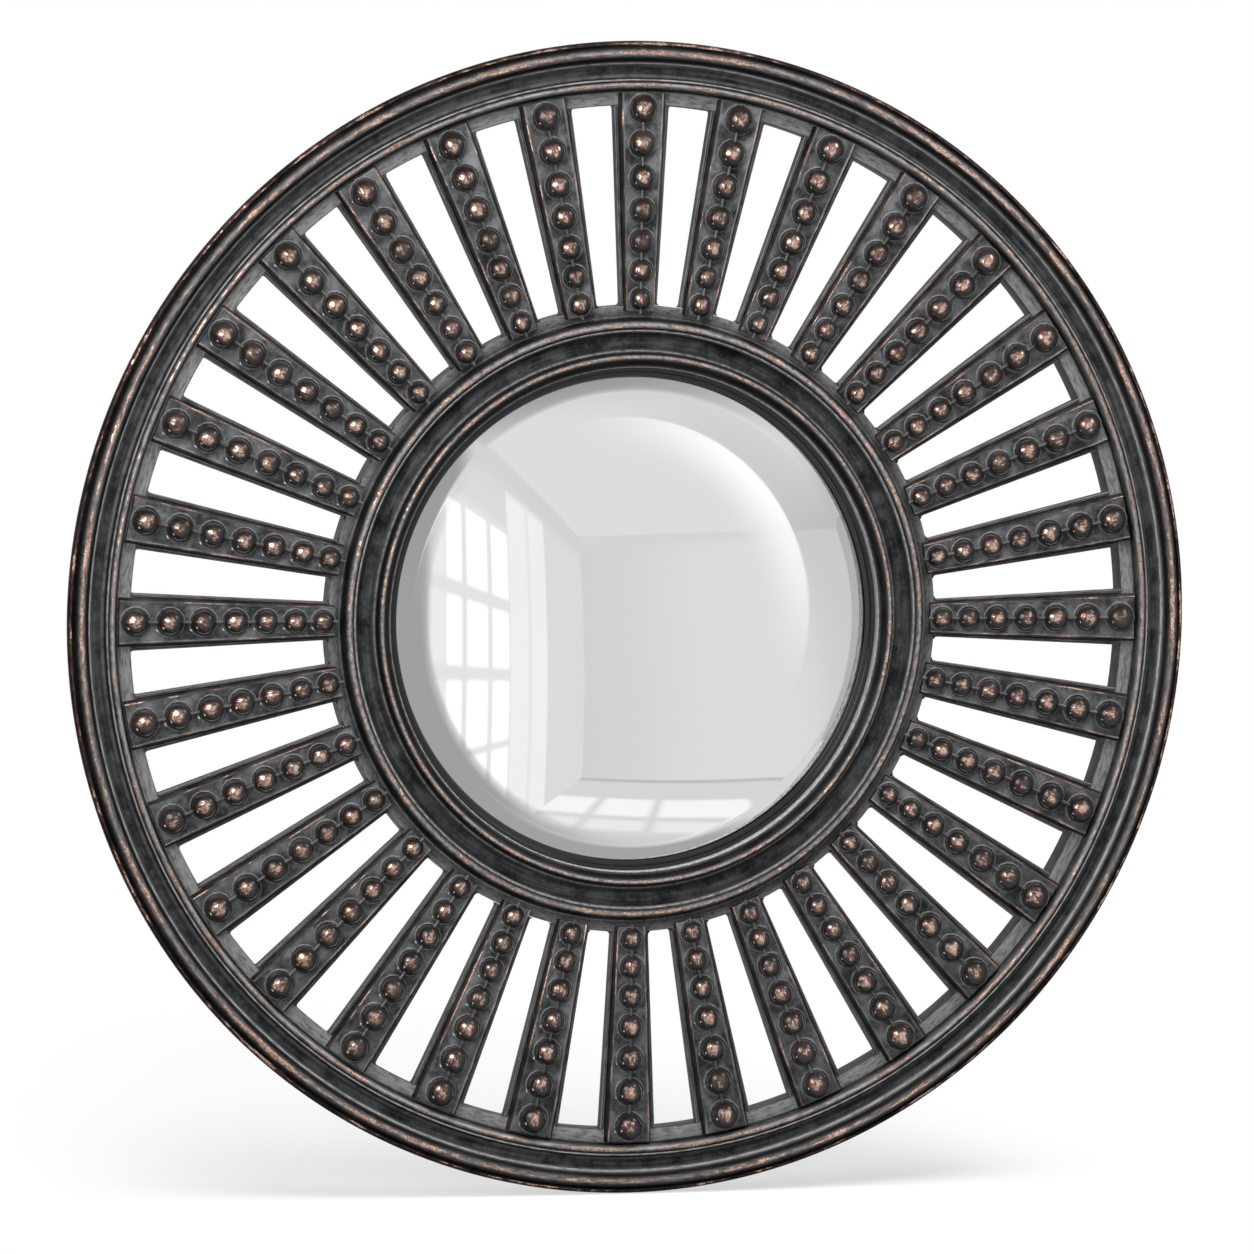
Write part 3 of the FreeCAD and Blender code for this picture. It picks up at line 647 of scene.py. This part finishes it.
# --- spokes ---------------------------------------------------------------------------------------
# Right halves of the spoke's and its panel's sections, at the spoke's wide end.
BAR_HALF = [
    (22.2, 12), (22.2, 19.1), (22, 19.7), (21.4, 20), (20.9, 20), (20.6, 20.45), (20.2, 20.6), (19.85, 20.4),
    (19.6, 19.9), (19, 19.8),
]
PANEL_HALF = [
    (19.1, 19.8), (19, 20.5), (18.4, 21.8), (17.6, 23.4), (17.1, 24.6), (16.8, 25), (16.35, 25.1),
    (15.95, 24.95), (15.6, 24.65), (14.8, 24.6),
]
# (radius, width factor) along them; the spoke flares a little where it runs into the rings.
BAR_STATIONS = [
    (244.95, 0.76), (245.6, 0.70), (246.6, 0.676), (248, 0.669), (396.4, 0.995), (398, 1.008), (399, 1.035),
    (399.7, 1.09),
]
PANEL_STATIONS = [(240.3, 0.653), (409.4, 1.004)]
PANEL_BEVEL = 0.35
BEVEL_OVER = 70
SPOKE_SMOOTH_UNDER = 50
WIDE_END = 399
NARROW_END = 245
NARROW_WIDTH = 0.667
SPOKE_TAPER = (1 - NARROW_WIDTH) / (WIDE_END - NARROW_END)
# Where a spoke is rubbed, painted pale as polished wear and a painted highlight, or darkened with painted
# shade: (distance from its middle line, half width, strength), all at its wide end.
SPOKE_CRESTS = [(16.4, 0.9, 0.9), (20.3, 0.6, 0.62), (22.1, 0.5, 0.3)]
SPOKE_EDGES = [(15.7, 0.35, 0.45), (19.9, 0.35, 0.6), (21.6, 0.4, 0.55)]
SPOKE_QUIRKS = [(19.1, 0.5, 1), (20.9, 0.35, 0.8), (17.9, 0.5, 0.5)]
# The dusty field between the panel's edges, the thinner dust elsewhere, and the height of the spoke's back.
FIELD_HALF_WIDTH = 15.8
FIELD_HEIGHT = 24
THIN_DUST = 0.15
SPOKE_BACK = 12.5


def mirrored(half):
    """A closed section from its right half, which runs from the back forwards to the middle."""
    return half + [(-x, height) for x, height in reversed(half)]


bar = drawn_out("bar", mirrored(BAR_HALF), BAR_STATIONS)
panel = drawn_out("panel", mirrored(PANEL_HALF), PANEL_STATIONS)
over = math.radians(BEVEL_OVER)
modify(panel, "BEVEL", width=PANEL_BEVEL * MM, segments=2, limit_method="ANGLE", angle_limit=over)


def across_spoke(point):
    """A point's distance from the spoke's middle line, as it is at the wide end."""
    return abs(point.x) / (1 - (WIDE_END - point.z) * SPOKE_TAPER)


def spoke_dust(point):
    """Dust lies on the panel's field, a little of it elsewhere, and the back is pale."""
    field = 1.0 if across_spoke(point) < FIELD_HALF_WIDTH and height_of(point) > FIELD_HEIGHT else THIN_DUST
    return front(point) * field + (REAR_DUST if height_of(point) < SPOKE_BACK else 0)


spoke = smooth(join("spoke_pattern", [bar, panel]), SPOKE_SMOOTH_UNDER)
# Pale polished wear with a painted highlight on the spoke's edges, and painted shade in its recesses.
paint(spoke, "edge", lambda p: front(p) * bumps(SPOKE_EDGES, across_spoke(p)))
paint(spoke, "painted_shade", lambda p: bumps(SPOKE_QUIRKS, across_spoke(p)))
paint(spoke, "rub", lambda p: front(p) * bumps(SPOKE_CRESTS, across_spoke(p)))
paint(spoke, "dust", spoke_dust)
for number in range(SPOKES):
    casting = copied(spoke, f"spoke_casting_{number + 1:02d}", turn(number))
    finish_piece(casting, spoke_bronze, f"spoke_{number + 1:02d}")
bpy.data.objects.remove(spoke)

# --- beads ----------------------------------------------------------------------------------------
# Where the outermost and the innermost bead stand, as radii in the frame, and the beads' own radii.
ROWS = 7
FIRST_BEAD = 397.2
LAST_BEAD = 249.8
PITCH_TAPER = 5.2
LARGEST_BEAD = 10.95
SMALLEST_BEAD = 8.6
BEAD_RISE = 0.92
BEAD_SEGMENTS = 14
BEAD_RINGS = 8
BEAD_SMOOTH_UNDER = 60
PANEL_TOP = 25
# The collar at a bead's foot: how far each of its two steps stands out, and how far it goes forwards. Its top
# and its edge are heights over the panel's.
COLLAR = ((0.9, 0.75), (1.0, -1.1))
COLLAR_TOP = 1.0
COLLAR_EDGE = 0.5
# Dust round the collar's foot, and the strength of the painted highlight along its edge.
COLLAR_DUST = 0.6
COLLAR_SHEEN = 0.4
ROD_SIDES = 10
ROD_RADIUS = 1.35
ROD_MIDDLE = 1.1
ROD_PAST_BEADS = 3
ROD_SMOOTH_UNDER = 50
# Dust on the rod, the painted highlight along it, and its wear.
ROD_DUST = 0.1
ROD_SHEEN = 0.15
ROD_RUB = 0.3
# The side of every bead where its copper wear is put, a little to the left of straight forwards, where the
# highlights fall, so that the copper also stands for a painted highlight. The copper sets in as a point turns
# towards it, and the last figure is how strongly.
COPPER_AND_HIGHLIGHT_SIDE = Vector((-0.2, -1, 0.03)).normalized()
COPPER_FROM, COPPER_FULL = 0.66, 0.84
COPPER_STRENGTH = 1.15
# A point belongs to a bead within this share of its radius, and from this far in front of its seat.
BEAD_REACH = 1.02
BEAD_FOOT = 2


def bead_places():
    """The radius in the frame and the size of every bead of a spoke, from the outside inwards."""
    steps = ROWS - 1
    mean = (FIRST_BEAD - LAST_BEAD) / steps
    radius = FIRST_BEAD
    for row in range(ROWS):
        yield radius, LARGEST_BEAD - (LARGEST_BEAD - SMALLEST_BEAD) * row / steps
        radius -= mean + PITCH_TAPER / (steps - 1) * ((steps - 1) / 2 - row)


def dome(place, size):
    """One bead and its collar, its pole pointing forwards."""
    deselect()
    seat = (0, depth(PANEL_TOP), place * MM)
    bpy.ops.mesh.primitive_uv_sphere_add(
        segments=BEAD_SEGMENTS, ring_count=BEAD_RINGS, radius=size * MM, location=seat,
        rotation=(math.pi / 2, 0, 0),
    )
    piece = settle(bpy.context.object, "bead")
    bpy.ops.object.mode_set(mode="EDIT")
    bpy.ops.mesh.select_all(action="SELECT")
    bpy.ops.mesh.bisect(plane_co=seat, plane_no=(0, 1, 0), clear_outer=True, clear_inner=False)
    bpy.ops.mesh.select_all(action="SELECT")
    bpy.ops.transform.resize(value=(1, BEAD_RISE, 1), center_override=seat)
    mesh = bmesh.from_edit_mesh(piece.data)
    for edge in mesh.edges:
        edge.select_set(edge.is_boundary)
    mesh.select_flush_mode()
    bmesh.update_edit_mesh(piece.data)
    for grow, forward in COLLAR:
        wider = (size + grow) / size
        bpy.ops.mesh.extrude_edges_move()
        bpy.ops.transform.resize(value=(wider, 1, wider), center_override=seat)
        bpy.ops.transform.translate(value=(0, -forward * MM, 0))
    bpy.ops.object.mode_set(mode="OBJECT")
    return piece


def rod(start, end):
    """The thin rod that shows between the beads."""
    deselect()
    middle = (0, depth(PANEL_TOP + ROD_MIDDLE), (start + end) / 2 * MM)
    bpy.ops.mesh.primitive_cylinder_add(
        vertices=ROD_SIDES, radius=ROD_RADIUS * MM, depth=(end - start) * MM, location=middle,
    )
    return settle(bpy.context.object, "rod")


def collar_dust(point):
    """Dust round the foot of a bead."""
    return COLLAR_DUST if height_of(point) < PANEL_TOP + COLLAR_TOP else 0.0


def collar_sheen(point):
    """A painted highlight: a pale line along the collar's edge."""
    return COLLAR_SHEEN if PANEL_TOP + COLLAR_EDGE < height_of(point) < PANEL_TOP + COLLAR_TOP else 0.0


def make_string():
    """The beads of one spoke on their rod."""
    places = list(bead_places())
    beads = []
    for place, size in places:
        bead = dome(place, size)
        paint(bead, "dust", collar_dust)
        paint(bead, "edge", collar_sheen)
        beads.append(smooth(bead, BEAD_SMOOTH_UNDER))
    first, last = places[0], places[-1]
    carrier = rod(last[0] - last[1] - ROD_PAST_BEADS, first[0])
    paint(carrier, "dust", lambda p: ROD_DUST)
    paint(carrier, "edge", lambda p: ROD_SHEEN)
    return join("string_pattern", beads + [smooth(carrier, ROD_SMOOTH_UNDER)])


def bead_rub(point):
    """Copper shows on the side of a bead where the highlights fall, as wear and a painted highlight; the rods
    are only a little worn.
    """
    number = round(math.atan2(point.x, point.z) / FULL_TURN * SPOKES)
    angle = FULL_TURN * number / SPOKES
    along = point.x * math.sin(angle) + point.z * math.cos(angle)
    place, size = min(bead_places(), key=lambda bead: abs(bead[0] - along))
    middle = Vector((place * math.sin(angle), -(WALL_GAP + PANEL_TOP), place * math.cos(angle)))
    if (point - middle).length > size * BEAD_REACH or point.y > middle.y - BEAD_FOOT:
        return ROD_RUB
    facing = (point - middle).dot(COPPER_AND_HIGHLIGHT_SIDE) / size
    return COPPER_STRENGTH * (facing - COPPER_FROM) / (COPPER_FULL - COPPER_FROM)


string = make_string()
strings = [copied(string, f"string_{number}", turn(number)) for number in range(SPOKES)]
bpy.data.objects.remove(string)
bead_piece = join("beads_and_rods", strings)
paint(bead_piece, "rub", bead_rub)
finish_piece(bead_piece, bead_bronze, "beads")

# --- CAD nodes that keep their shape --------------------------------------------------------------
for finish, names in (
    (hardboard, ["back_board"]),
    (foam, ["spacer_blocks"]),
    (rubber, ["wall_bumpers"]),
    (zinc, ["board_clips", "clip_screws", "hanger_straps", "hanger_screws"]),
    (zinc, ["hanging_ring_left", "hanging_ring_right"]),
):
    for name in names:
        coat_with(frame["nodes"][name], finish)

# --- stage ----------------------------------------------------------------------------------------
FLOOR = -0.45
FLOOR_SIDE = 60
# The floor's own grey and what it is lifted by for the camera alone, so that it looks white; near the mirror
# it takes a shadow, within an oval of these half axes, and further off it is plain white.
FLOOR_GREY = 0.36
FLOOR_GLOW = 0.61
SHADOW_HALF_WIDTH = 0.46
SHADOW_DEPTH = 1.3
# The room that the glass shows, seen along its own axes: right, up and away from the glass.
ROOM_RIGHT = Vector((0.92803, 0.36942, 0.04773))
ROOM_UP = Vector((0.01734, -0.17085, 0.98514))
ROOM_AWAY = Vector((0.37209, -0.91342, -0.16496))
ROOM_LEAN = 0.052
CEILING_TILT = 0.05
ROOM_LEFT_WALL = -1.37
ROOM_RIGHT_WALL = 2.25
ROOM_FLOOR = -1.25
ROOM_CEILING = 1.6
ROOM_DEPTH = 6.0
ROOM_NEAR = 0.3
WALLS_RUN_ON = 0.6
FLOORS_RUN_ON = 1
# How much of the light the silvering gives back. A tone in the room is what the glass is to show.
SILVER = 0.92
ROOM_WHITE = (0.995, 1, 1.005, 1)
# The window: casings, opening, bars and panes along the wall (away) and up it.
CASING = ((3.41, 4.41), (-1.3, 1.4))
CASING_JOINT = (3.86, 3.95)
OPENING = ((2.16, 3.41), (-1.0, 1.1))
PANE_COLUMNS = ((2.37, 2.57), (2.65, 2.98), (3.07, 3.39))
PANE_ROWS = ((0.53, 1.03), (0.02, 0.43), (-0.5, -0.075), (-0.98, -0.56))
HALF_SEEN_PANES = (2.16, 2.35)
# The sun on the floor: a bright and a paler bar across the room, and the window's columns along it.
SUN_BRIGHT = (4.27, 4.95)
SUN_PALE = (3.8, 4.13)
SUN_COLUMNS = ((-1.5, -0.95), (-0.87, -0.37), (-0.29, 0.6))


def in_room(right, up, away):
    """A place in the room, whose upright lines lean a little to the left, as they look in the glass."""
    return ROOM_RIGHT * (right - ROOM_LEAN * up) + ROOM_UP * up + ROOM_AWAY * away


def backdrop_material():
    """White to the camera, apart from the shadow that falls on it near the mirror."""
    new, s, surface = bare_material("white_floor")
    place = s.add("ShaderNodeTexCoord").outputs["Object"]
    oval = s.vector("MULTIPLY", place, (1 / SHADOW_HALF_WIDTH, 1 / SHADOW_DEPTH, 0))
    away = s.step(s.vector("LENGTH", oval), 0.5, 1.0)
    camera_ray = s.add("ShaderNodeLightPath").outputs["Is Camera Ray"]
    near = s.add("ShaderNodeAddShader")
    lit = s.add("ShaderNodeBsdfDiffuse", {}, Color=grey(FLOOR_GREY))
    lift = s.math("MULTIPLY", camera_ray, FLOOR_GLOW)
    near_glow = s.add("ShaderNodeEmission", {}, Color=grey(1), Strength=lift)
    s.link(lit.outputs[0], near.inputs[0])
    s.link(near_glow.outputs[0], near.inputs[1])
    far = s.add("ShaderNodeEmission", {}, Color=grey(1), Strength=s.blend(camera_ray, FLOOR_GREY, 1.0))
    both = s.add("ShaderNodeMixShader", {}, Fac=away)
    s.link(near.outputs[0], both.inputs[1])
    s.link(far.outputs[0], both.inputs[2])
    s.link(both.outputs[0], surface)
    return new


deselect()
bpy.ops.mesh.primitive_plane_add(size=FLOOR_SIDE, location=(0, 0, FLOOR))
floor = settle(bpy.context.object, "floor")
floor.data.materials.append(backdrop_material())
floor.visible_glossy = False


def reflected_only(piece, name, finish):
    """Marks a piece of the studio that only shows in the glass and the polished metal."""
    piece.name = name
    coat_with(piece, finish)
    piece.visible_camera = False
    piece.visible_diffuse = False
    piece.visible_shadow = False
    piece.visible_transmission = False


def room_panel(name, middle, across, along, width, length, finish):
    """A flat wall of the room, across and along being its own directions."""
    deselect()
    bpy.ops.mesh.primitive_plane_add(size=1)
    piece = bpy.context.object
    axes = Matrix((across * width, along * length, across.cross(along))).transposed().to_4x4()
    piece.data.transform(Matrix.Translation(middle) @ axes)
    reflected_only(piece, name, finish)


def room_paint(name, tone, near_tone, fade_from, fade_to, pattern=None):
    """The room's light at a point: one tone far off and another near the glass, with a pattern over it."""
    new, s, surface = bare_material(name)
    place = s.add("ShaderNodeTexCoord").outputs["Object"]
    square = (ROOM_RIGHT + ROOM_UP * ROOM_LEAN, ROOM_UP, ROOM_AWAY)
    right, up, away = (s.vector("DOT_PRODUCT", place, tuple(axis)) for axis in square)
    light = s.step(away, fade_from, fade_to, near_tone, tone)
    if pattern:
        light = pattern(s, light, right, up, away)
    glow = s.add("ShaderNodeEmission", {}, Color=ROOM_WHITE, Strength=s.math("DIVIDE", light, SILVER))
    s.link(glow.outputs[0], surface)
    return new


def window_pattern(s, light, right, up, away):
    """A tall window with glazing bars and a casing, under a cornice."""
    casing = s.math("MULTIPLY", s.band(away, *CASING[0], 0.03), s.band(up, *CASING[1], 0.05))
    light = s.blend(s.step(up, 1.25, 1.6), light, s.math("MULTIPLY", light, 0.91))
    light = s.blend(casing, light, 0.87)
    light = s.blend(s.band(away, *CASING_JOINT, 0.03), light, s.blend(casing, light, 0.8))
    opening = s.math("MULTIPLY", s.band(away, *OPENING[0], 0.06), s.band(up, *OPENING[1], 0.06))
    light = s.blend(opening, light, 0.78)
    half_seen = s.math("MULTIPLY", s.band(away, *HALF_SEEN_PANES, 0.05), 0.2)
    columns = s.total([s.band(away, *pane, 0.03) for pane in PANE_COLUMNS] + [half_seen])
    rows = s.total([s.band(up, *pane, 0.025) for pane in PANE_ROWS])
    return s.blend(s.math("MULTIPLY", columns, rows), light, 1.12)


def sunlit_pattern(s, light, right, up, away):
    """Light from the window on the floor, and the dark joint at the foot of the far wall."""
    bright = s.band(away, *SUN_BRIGHT, 0.07)
    pale = s.math("MULTIPLY", s.band(away, *SUN_PALE, 0.07), 0.6)
    columns = s.total([s.band(right, *column, 0.05) for column in SUN_COLUMNS])
    light = s.blend(s.math("MULTIPLY", columns, s.math("ADD", bright, pale)), light, 0.92)
    return s.blend(s.step(away, 5.75, 5.9), light, 0.5)


def ceiling_pattern(s, light, right, up, away):
    """A little darker on the side away from the window."""
    return s.blend(s.step(right, 0.7, 2.0), light, s.math("MULTIPLY", light, 0.72))


def far_wall_pattern(s, light, right, up, away):
    """A little darker towards the window and along the ceiling."""
    light = s.blend(s.step(right, -1.4, 0.3), 0.64, light)
    light = s.blend(s.step(up, 1.4, 1.58), light, 0.66)
    return s.blend(s.step(right, 1.3, 2.1), light, 0.6)


middle_up = (ROOM_CEILING + ROOM_FLOOR) / 2
middle_right = (ROOM_LEFT_WALL + ROOM_RIGHT_WALL) / 2
middle_away = (ROOM_NEAR + ROOM_DEPTH) / 2
# Walls run past the sloping ceiling, and floor and ceiling past the leaning walls.
room_height = ROOM_CEILING - ROOM_FLOOR + WALLS_RUN_ON
room_width = ROOM_RIGHT_WALL - ROOM_LEFT_WALL
floor_width = room_width + FLOORS_RUN_ON
room_length = ROOM_DEPTH - ROOM_NEAR
upright = in_room(0, 1, 0)
sloping = ROOM_RIGHT - ROOM_UP * CEILING_TILT
middle_ceiling = in_room(middle_right, ROOM_CEILING - CEILING_TILT * middle_right, middle_away)
room_panel(
    "room_far_wall", in_room(middle_right, middle_up, ROOM_DEPTH), ROOM_RIGHT, upright, room_width,
    room_height, room_paint("far_wall_paint", 0.71, 0.71, 0, 1, far_wall_pattern),
)
room_panel(
    "room_window_wall", in_room(ROOM_LEFT_WALL, middle_up, middle_away), ROOM_AWAY, upright, room_length,
    room_height, room_paint("window_wall_paint", 0.71, 0.33, 1.95, 2.3, window_pattern),
)
room_panel(
    "room_right_wall", in_room(ROOM_RIGHT_WALL, middle_up, middle_away), ROOM_AWAY, upright, room_length,
    room_height, room_paint("right_wall_paint", 0.44, 0.3, 1.5, 3.5),
)
room_panel(
    "room_ceiling", middle_ceiling, sloping, ROOM_AWAY, floor_width, room_length,
    room_paint("ceiling_paint", 0.72, 0.18, 1.3, 2.9, ceiling_pattern),
)
room_panel(
    "room_floor", in_room(middle_right, ROOM_FLOOR, middle_away), ROOM_RIGHT, ROOM_AWAY, floor_width,
    room_length, room_paint("floor_paint", 0.67, 0.38, 2.6, 3.2, sunlit_pattern),
)


def glow_arc(name, middle, radii, angles, strength, tone):
    """A curved band of light or shade that hangs a metre in front of the glass.

    It is strongest at its middle angle and at the radius that strength gives most for, and fades from there.
    """
    right, up = middle
    start, end = (math.radians(angle) for angle in angles)

    def place(radius, angle):
        x, z = right + radius * math.cos(angle), up + radius * math.sin(angle)
        return ROOM_RIGHT * x + ROOM_UP * z + ROOM_AWAY

    piece = chain(name, [place(radius, start) for radius in radii], closed=False)
    bpy.ops.object.mode_set(mode="EDIT")
    bpy.ops.mesh.select_all(action="SELECT")
    bpy.ops.mesh.spin(steps=ARC_STEPS, angle=start - end, center=place(0, 0), axis=ROOM_AWAY)
    bpy.ops.object.mode_set(mode="OBJECT")

    def glow(point):
        spot = point * MM
        x, z = spot.dot(ROOM_RIGHT) - right, spot.dot(ROOM_UP) - up
        along = ((math.atan2(z, x) - start) % FULL_TURN) / (end - start)
        return strength(math.hypot(x, z)) * math.sin(math.pi * min(1, along)) ** ARC_END_FADE

    paint(piece, "glow", glow)
    new, s, surface = bare_material(name)
    both = s.add("ShaderNodeMixShader", {}, Fac=attribute(s, "glow"))
    band = s.add("ShaderNodeEmission", {}, Color=grey(1), Strength=tone / SILVER)
    s.link(s.add("ShaderNodeBsdfTransparent").outputs[0], both.inputs[1])
    s.link(band.outputs[0], both.inputs[2])
    s.link(both.outputs[0], surface)
    reflected_only(piece, name, new)


def fade(value, low, high):
    """Goes softly from 0 at low to 1 at high."""
    share = min(1.0, max(0.0, (value - low) / (high - low)))
    return share * share * (3 - 2 * share)


# The bright arc that the glass shows at the upper right, the shade outside it, and the dark arc at the lower
# left: middle, radius, and the steps from that radius over which each fades.
ARC_STEPS = 48
ARC_END_FADE = 1.5
ARC_MIDDLE = (-0.214, 0.135)
ARC_RADIUS = 0.539
ARC_INWARDS = (-0.17, -0.14, -0.11, -0.085, -0.06, -0.04, -0.025, -0.012, 0)
ARC_OUTWARDS = (0.003, 0.02, 0.05, 0.09, 0.14, 0.2)
SHADE_MIDDLE = (-0.128, 0.169)
SHADE_RADIUS = 0.616
SHADE_OUTWARDS = (-0.004, 0.01, 0.03, 0.06, 0.1, 0.16, 0.25, 0.37, 0.5)
glow_arc(
    "bright_arc", ARC_MIDDLE, [ARC_RADIUS + step for step in ARC_INWARDS], (-24, 98),
    lambda radius: 0.95 * fade(radius, ARC_RADIUS + ARC_INWARDS[0], ARC_RADIUS - 0.005) ** 1.7, 1.02,
)
glow_arc(
    "arc_shade", ARC_MIDDLE, [ARC_RADIUS + step for step in ARC_OUTWARDS], (-30, 90),
    lambda radius: 0.5 * fade(radius, ARC_RADIUS + ARC_OUTWARDS[-1], ARC_RADIUS + 0.01), 0.47,
)
glow_arc(
    "dark_arc", SHADE_MIDDLE, [SHADE_RADIUS + step for step in SHADE_OUTWARDS], (132, 292),
    lambda radius: 1.2 * fade(radius, SHADE_RADIUS + SHADE_OUTWARDS[0], SHADE_RADIUS + 0.022), 0.35,
)


def heading(azimuth, elevation):
    """The direction from the mirror towards a place in front of it, both angles in degrees."""
    azimuth, elevation = math.radians(azimuth), math.radians(elevation)
    level = math.cos(elevation)
    return Vector((math.sin(azimuth) * level, -math.cos(azimuth) * level, math.sin(elevation)))


CARD_STEPS = 48


def glowing(name, colour, tone):
    """A plain glowing material."""
    new, s, surface = bare_material(name)
    s.link(s.add("ShaderNodeEmission", {}, Color=colour, Strength=tone).outputs[0], surface)
    return new


def studio_card(name, azimuth, elevation, away, half_angle, tone, colour=(1, 1, 1)):
    """A round card that faces the mirror, its direction and half its width being angles in degrees."""
    towards = heading(azimuth, elevation)
    deselect()
    bpy.ops.mesh.primitive_circle_add(
        vertices=CARD_STEPS, radius=away * math.tan(math.radians(half_angle)), fill_type="NGON",
        location=towards * away, rotation=towards.to_track_quat("Z", "Y").to_euler(),
    )
    reflected_only(settle(bpy.context.object, name), name, glowing(name, (*colour, 1), tone))


studio_card("left_softbox", -43, 20, 1.45, 19, 4.0)
studio_card("right_softbox", 58, 40, 1.8, 12, 3.0)
studio_card("low_card", -84, -38, 3.2, 7, 12, (0.86, 0.93, 1))

# Dark cloths round the set: a band of a dome between two angles from straight ahead, which the sides of the
# beads and the rim reflect.
CLOTH_RADIUS = 3.6
CLOTH_FROM = 64
CLOTH_TO = 108
CLOTH_TONE = 0.05
deselect()
bpy.ops.mesh.primitive_uv_sphere_add(
    segments=48, ring_count=24, radius=CLOTH_RADIUS, rotation=(math.pi / 2, 0, 0),
)
cloths = settle(bpy.context.object, "dark_cloths")
bpy.ops.object.mode_set(mode="EDIT")
for angle, behind in ((CLOTH_FROM, False), (CLOTH_TO, True)):
    cut = (0, -math.cos(math.radians(angle)) * CLOTH_RADIUS, 0)
    bpy.ops.mesh.select_all(action="SELECT")
    bpy.ops.mesh.bisect(plane_co=cut, plane_no=(0, 1, 0), clear_inner=not behind, clear_outer=behind)
bpy.ops.object.mode_set(mode="OBJECT")
reflected_only(cloths, "dark_cloths", glowing("dark_cloth", grey(1), CLOTH_TONE))

# --- camera ---------------------------------------------------------------------------------------
# The photograph is PHOTO pixels wide; its focal length and shifts are in those pixels.
PHOTO = 1254
FOCAL_LENGTH = 7664.45
SHIFT_RIGHT = 2.02
SHIFT_UP = -10.07
AZIMUTH = -15.195
ELEVATION = 4.0
ROLL = math.radians(0.797)
DISTANCE = 6.0
back = heading(AZIMUTH, ELEVATION)
camera_data = bpy.data.cameras.new("camera")
camera_data.sensor_width = 36
camera_data.sensor_fit = "HORIZONTAL"
camera_data.lens = FOCAL_LENGTH / PHOTO * camera_data.sensor_width
camera_data.clip_end = 200
camera_data.shift_x = SHIFT_RIGHT / PHOTO
camera_data.shift_y = SHIFT_UP / PHOTO
camera = bpy.data.objects.new("camera", camera_data)
camera.location = back * DISTANCE
aim = (-back).to_track_quat("-Z", "Y") @ Matrix.Rotation(ROLL, 4, "Z").to_quaternion()
camera.rotation_euler = aim.to_euler()
bpy.context.scene.collection.objects.link(camera)
bpy.context.scene.camera = camera


# --- light ----------------------------------------------------------------------------------------
def lamp(name, place, size, power):
    """A round soft lamp that points at the middle of the mirror, its power in watts."""
    data = bpy.data.lights.new(name, "AREA")
    data.shape = "DISK"
    data.size = size
    data.energy = power
    light = bpy.data.objects.new(name, data)
    light.location = place
    light.rotation_euler = (-Vector(place)).to_track_quat("-Z", "Y").to_euler()
    light.visible_glossy = False
    bpy.context.scene.collection.objects.link(light)


lamp("key", (0.35, -0.95, 2.5), 2.2, 104)
lamp("fill", (-2.2, -1.8, 1.1), 1.6, 44)

# Light from all round the studio, which the camera and the glass see as white.
STUDIO_LIGHT = 0.2
world = bpy.data.worlds.new("studio")
world.use_nodes = True
bpy.context.scene.world = world
world.node_tree.nodes.clear()
s = Shader(world.node_tree)
path = s.add("ShaderNodeLightPath").outputs
through = s.math("MAXIMUM", path["Is Glossy Ray"], path["Is Transmission Ray"])
seen = s.math("MAXIMUM", path["Is Camera Ray"], through)
sky = s.add("ShaderNodeBackground", {}, Color=grey(1), Strength=s.blend(seen, STUDIO_LIGHT, 1.0))
world_output = s.add("ShaderNodeOutputWorld")
s.link(sky.outputs[0], world_output.inputs["Surface"])

bpy.context.scene.view_settings.view_transform = "Standard"
